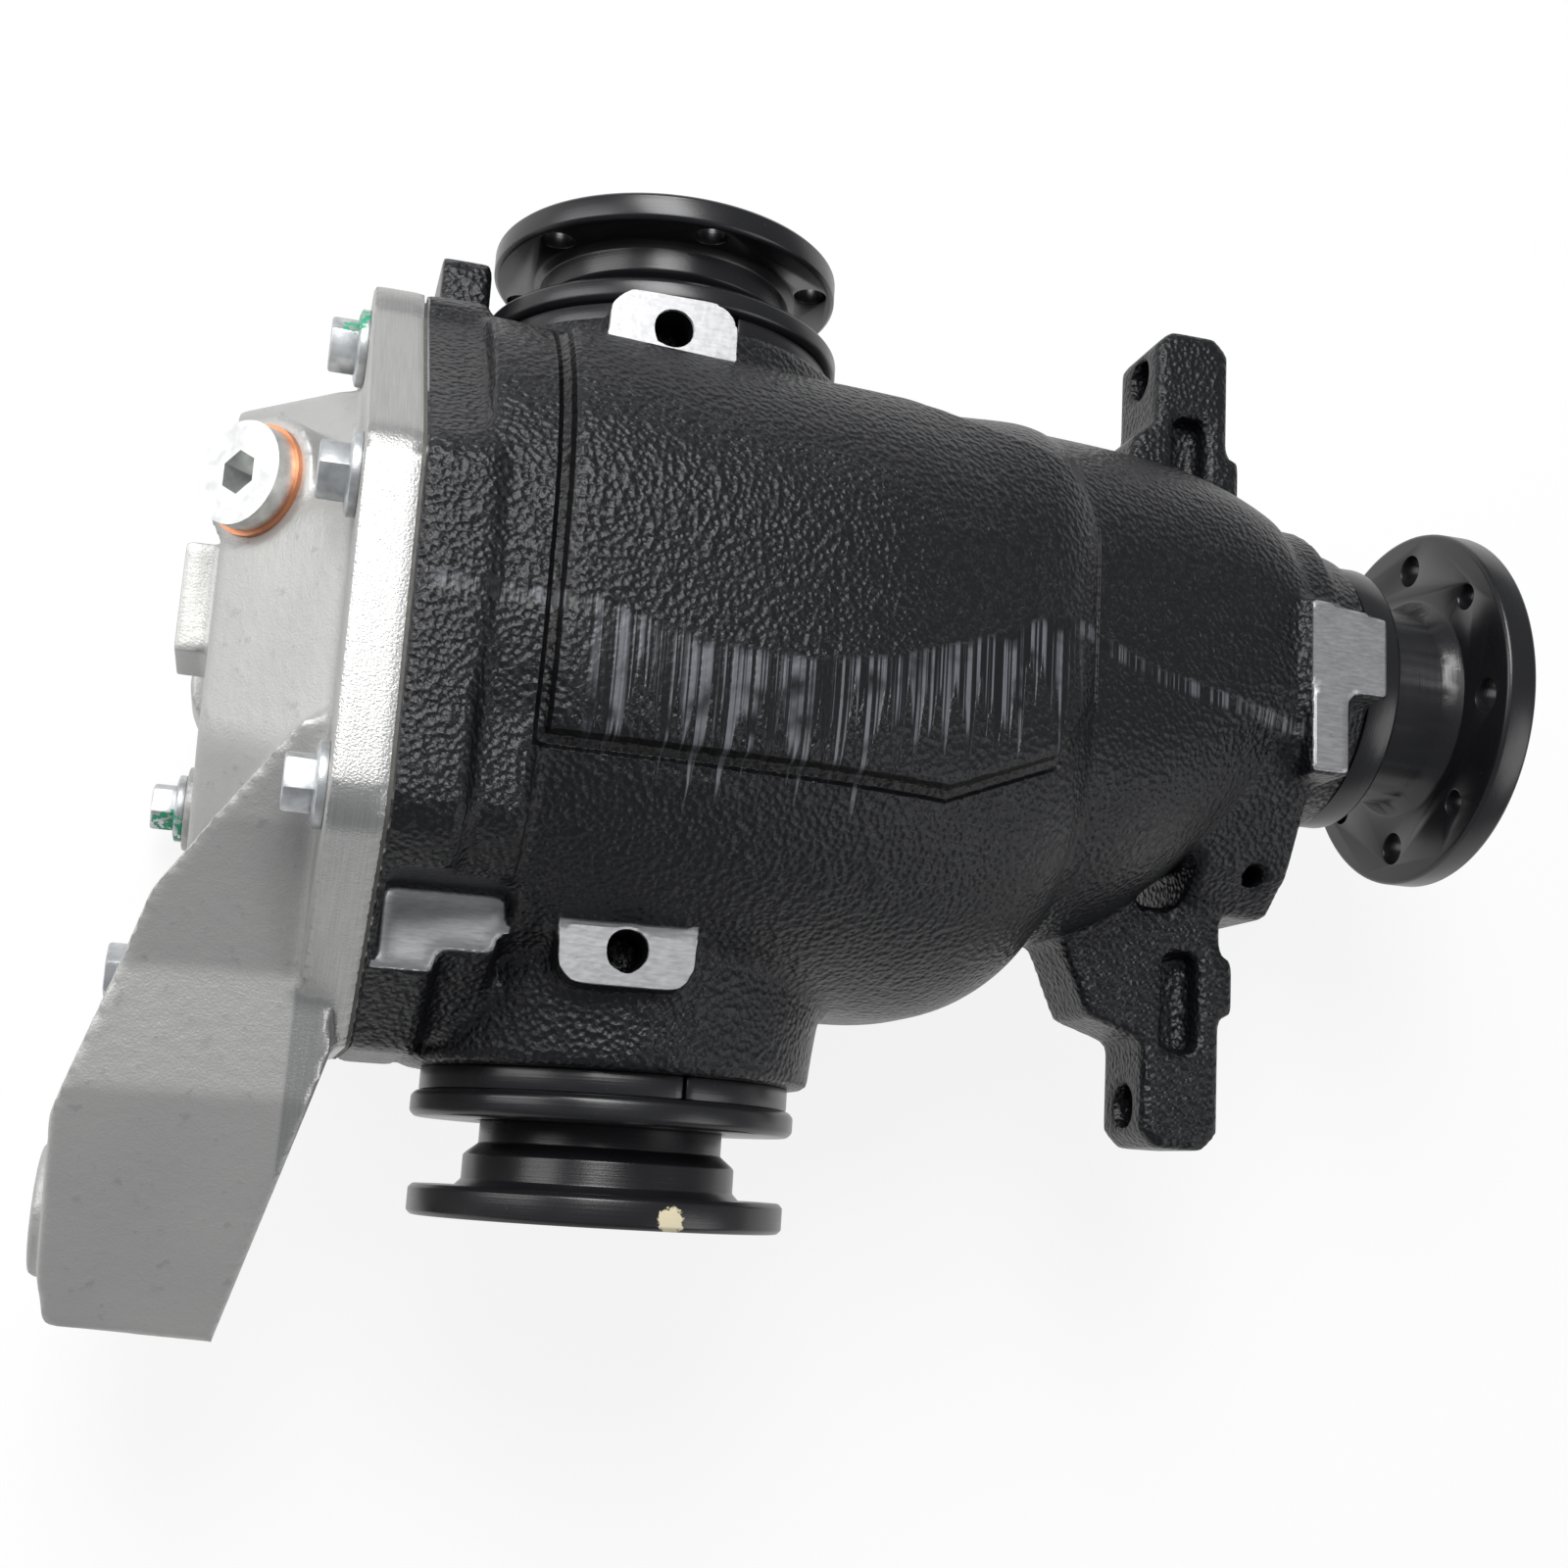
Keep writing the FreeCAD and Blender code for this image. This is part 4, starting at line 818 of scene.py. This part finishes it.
@dataclass
class TurnedPieces:
    """Black turned flanges and rings, with their edges broken."""

    edge: float = 0.0006

    def dress_node(self, node: str, name: str, body: str, finish: bpy.types.Material) -> None:
        """Copy a node, break its edges and dress it.

        Args:
            node: The node.
            name: The piece's name.
            body: The body that it rides on.
            finish: The material.
        """
        piece = Bench.copy_of(node, name)
        Bench.pick(piece)
        bpy.ops.object.mode_set(mode="EDIT")
        bpy.ops.mesh.select_all(action="SELECT")
        bpy.ops.mesh.dissolve_limited(angle_limit=math.radians(1.0))
        bpy.ops.object.mode_set(mode="OBJECT")
        Bench.modify(piece, "BEVEL", width=self.edge, segments=2, limit_method="ANGLE",
                     angle_limit=math.radians(35.0), harden_normals=False)
        Bench.smooth_shade(piece, 32.0)
        Bench.dress(piece, finish)
        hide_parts(node)
        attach(piece, body)
        log.info("%s: %d faces", name, len(piece.data.polygons))

    def build(self) -> None:
        """Dress the flanges, carriers and rings."""
        along = BlackSteel("black_turned_axle", Axis.AXLE).material()
        chipped = BlackSteel("black_turned_chipped", Axis.AXLE, chip=at(11, -183, 52.8)).material()
        ahead = BlackSteel("black_turned_pinion", Axis.PINION).material()
        for side, finish in (("left", along), ("right", chipped)):
            self.dress_node(side + "_output_shaft", side + "_flange", side + "_output",
                            finish)
            self.dress_node(side + "_bearing_carrier", side + "_retainer", "housing", along)
            self.dress_node(side + "_shim_ring", side + "_spacer", "housing", along)
        self.dress_node("input_flange", "front_flange", "pinion", ahead)
        self.dress_node("dust_deflector", "front_shield", "pinion", ahead)


class InnerWorks:
    """Materials of the pieces that stay as the model has them."""

    def build(self) -> None:
        """Dress each remaining node by its kind."""
        steel = PlainMetal("ground_steel", (0.56, 0.56, 0.57), (0.42, 0.42, 0.43), 0.22).material()
        gear = PlainMetal("gear_steel", (0.30, 0.30, 0.32), (0.20, 0.20, 0.215), 0.32).material()
        iron = PlainMetal("carrier_iron", (0.20, 0.20, 0.21), (0.12, 0.12, 0.125), 0.48, 600.0).material()
        dark = PlainMetal("dark_steel", (0.07, 0.07, 0.075), (0.04, 0.04, 0.045), 0.4).material()
        copper = PlainMetal("copper_ring", (0.80, 0.36, 0.20), (0.62, 0.25, 0.13), 0.32).material()
        plug = PlatedSteel("plug_zinc", (0.70, 0.71, 0.70), (0.52, 0.53, 0.52), 0.32).material()
        rubber = Rubber().material()
        gasket = Rubber("gasket_sheet", (0.10, 0.10, 0.09)).material()
        kinds = {
            "cover_gasket": gasket, "cover_dowels": steel, "fill_plug": plug, "drain_plug": plug,
            "fill_plug_washer": copper, "drain_plug_washer": copper, "pinion_nut": plug,
            "ring_gear": gear, "ring_gear_bolts": dark, "diff_carrier": iron, "pinion_shaft": gear,
        }
        for name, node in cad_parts.items():
            finish = kinds.get(name)
            if finish is None and ("seal" in name or "oring" in name):
                finish = rubber
            if finish is None and "gear" in name:
                finish = gear
            Bench.dress(node, finish or steel)


@dataclass
class Studio:
    """Camera, soft lamps and a plain pale floor."""

    eye: Vector = field(default_factory=lambda: Vector((-0.2957, -0.1536, 0.5760)))
    view: Vector = field(default_factory=lambda: Vector((0.2524, 0.2009, -0.9465)))
    up: Vector = field(default_factory=lambda: Vector((-0.1092, 0.9779, 0.1784)))
    lens: float = 45.15
    floor_level: float = -0.112

    def camera(self) -> None:
        """Place the camera."""
        data = bpy.data.cameras.new("camera")
        data.lens = self.lens
        data.sensor_width = 36.0
        data.clip_start = 0.01
        camera = bpy.data.objects.new("camera", data)
        bpy.context.scene.collection.objects.link(camera)
        back = -self.view.normalized()
        right = self.up.cross(back).normalized()
        top = back.cross(right)
        turned = Matrix((right, top, back)).transposed().to_4x4()
        camera.matrix_world = Matrix.Translation(self.eye) @ turned
        bpy.context.scene.camera = camera

    def lamp(self, name: str, place: Sequence[float], target: Sequence[float], size: tuple[float, float],
             power: float) -> None:
        """Add a soft rectangular lamp.

        Args:
            name: Its name.
            place: Where it is.
            target: Where it points.
            size: Its width and height.
            power: Its power in watts.
        """
        data = bpy.data.lights.new(name, "AREA")
        data.shape = "RECTANGLE"
        data.size, data.size_y = size
        data.energy = power
        light = bpy.data.objects.new(name, data)
        light.location = place
        light.rotation_euler = (Vector(target) - Vector(place)).to_track_quat("-Z", "Y").to_euler()
        bpy.context.scene.collection.objects.link(light)

    def floor(self) -> None:
        """Add the floor, white to the camera, with a soft shadow."""
        Bench.clear()
        bpy.ops.mesh.primitive_plane_add(size=8.0, location=(-0.2, 0, self.floor_level))
        floor = bpy.context.object
        floor.name = "floor"
        ink = Finish("floor_white")
        path = ink.node("ShaderNodeLightPath", {}, {})
        seen = ink.out(path, "Is Camera Ray").high(ink.out(path, "Is Glossy Ray"))
        matte = ink.node("ShaderNodeBsdfDiffuse", {}, {"Color": (0.85, 0.85, 0.85, 1)})
        glow = ink.node("ShaderNodeEmission", {}, {"Color": (1, 1, 1, 1), "Strength": 1.0})
        blend = ink.node("ShaderNodeMixShader", {}, {0: seen * 0.85, 1: ink.out(matte), 2: ink.out(glow)})
        ink.node("ShaderNodeOutputMaterial", {}, {"Surface": ink.out(blend)})
        Bench.dress(floor, ink.material)

    def world(self) -> None:
        """Light the room softly."""
        world = bpy.data.worlds.new("room")
        world.use_nodes = True
        background = world.node_tree.nodes["Background"]
        background.inputs["Color"].default_value = (0.93, 0.95, 1.0, 1.0)
        background.inputs["Strength"].default_value = 0.30
        bpy.context.scene.world = world

    def build(self) -> None:
        """Set up camera, lamps, floor and room."""
        self.camera()
        self.floor()
        self.world()
        centre = (-0.2, 0.0, 0.0)
        self.lamp("key", (-0.45, 0.65, 1.15), centre, (0.6, 0.9), 19.0)
        self.lamp("fill", (0.9, -0.6, 0.9), centre, (0.8, 0.8), 5.0)
        self.lamp("side", (-1.2, 0.3, 0.5), centre, (0.6, 0.8), 6.0)
        settings = bpy.context.scene.view_settings
        settings.view_transform = "Standard"


def main() -> None:
    """Build every sub-assembly in order."""
    logging.basicConfig(level=logging.INFO, format="%(name)s %(message)s")
    steps: list[Callable[[], None]] = [
        Studio().build, InnerWorks().build, CaseCasting().build, CoverCasting().build,
        CoverScrews().build, TurnedPieces().build,
    ]
    for step in steps:
        step()


if __name__ == "__main__":
    main()
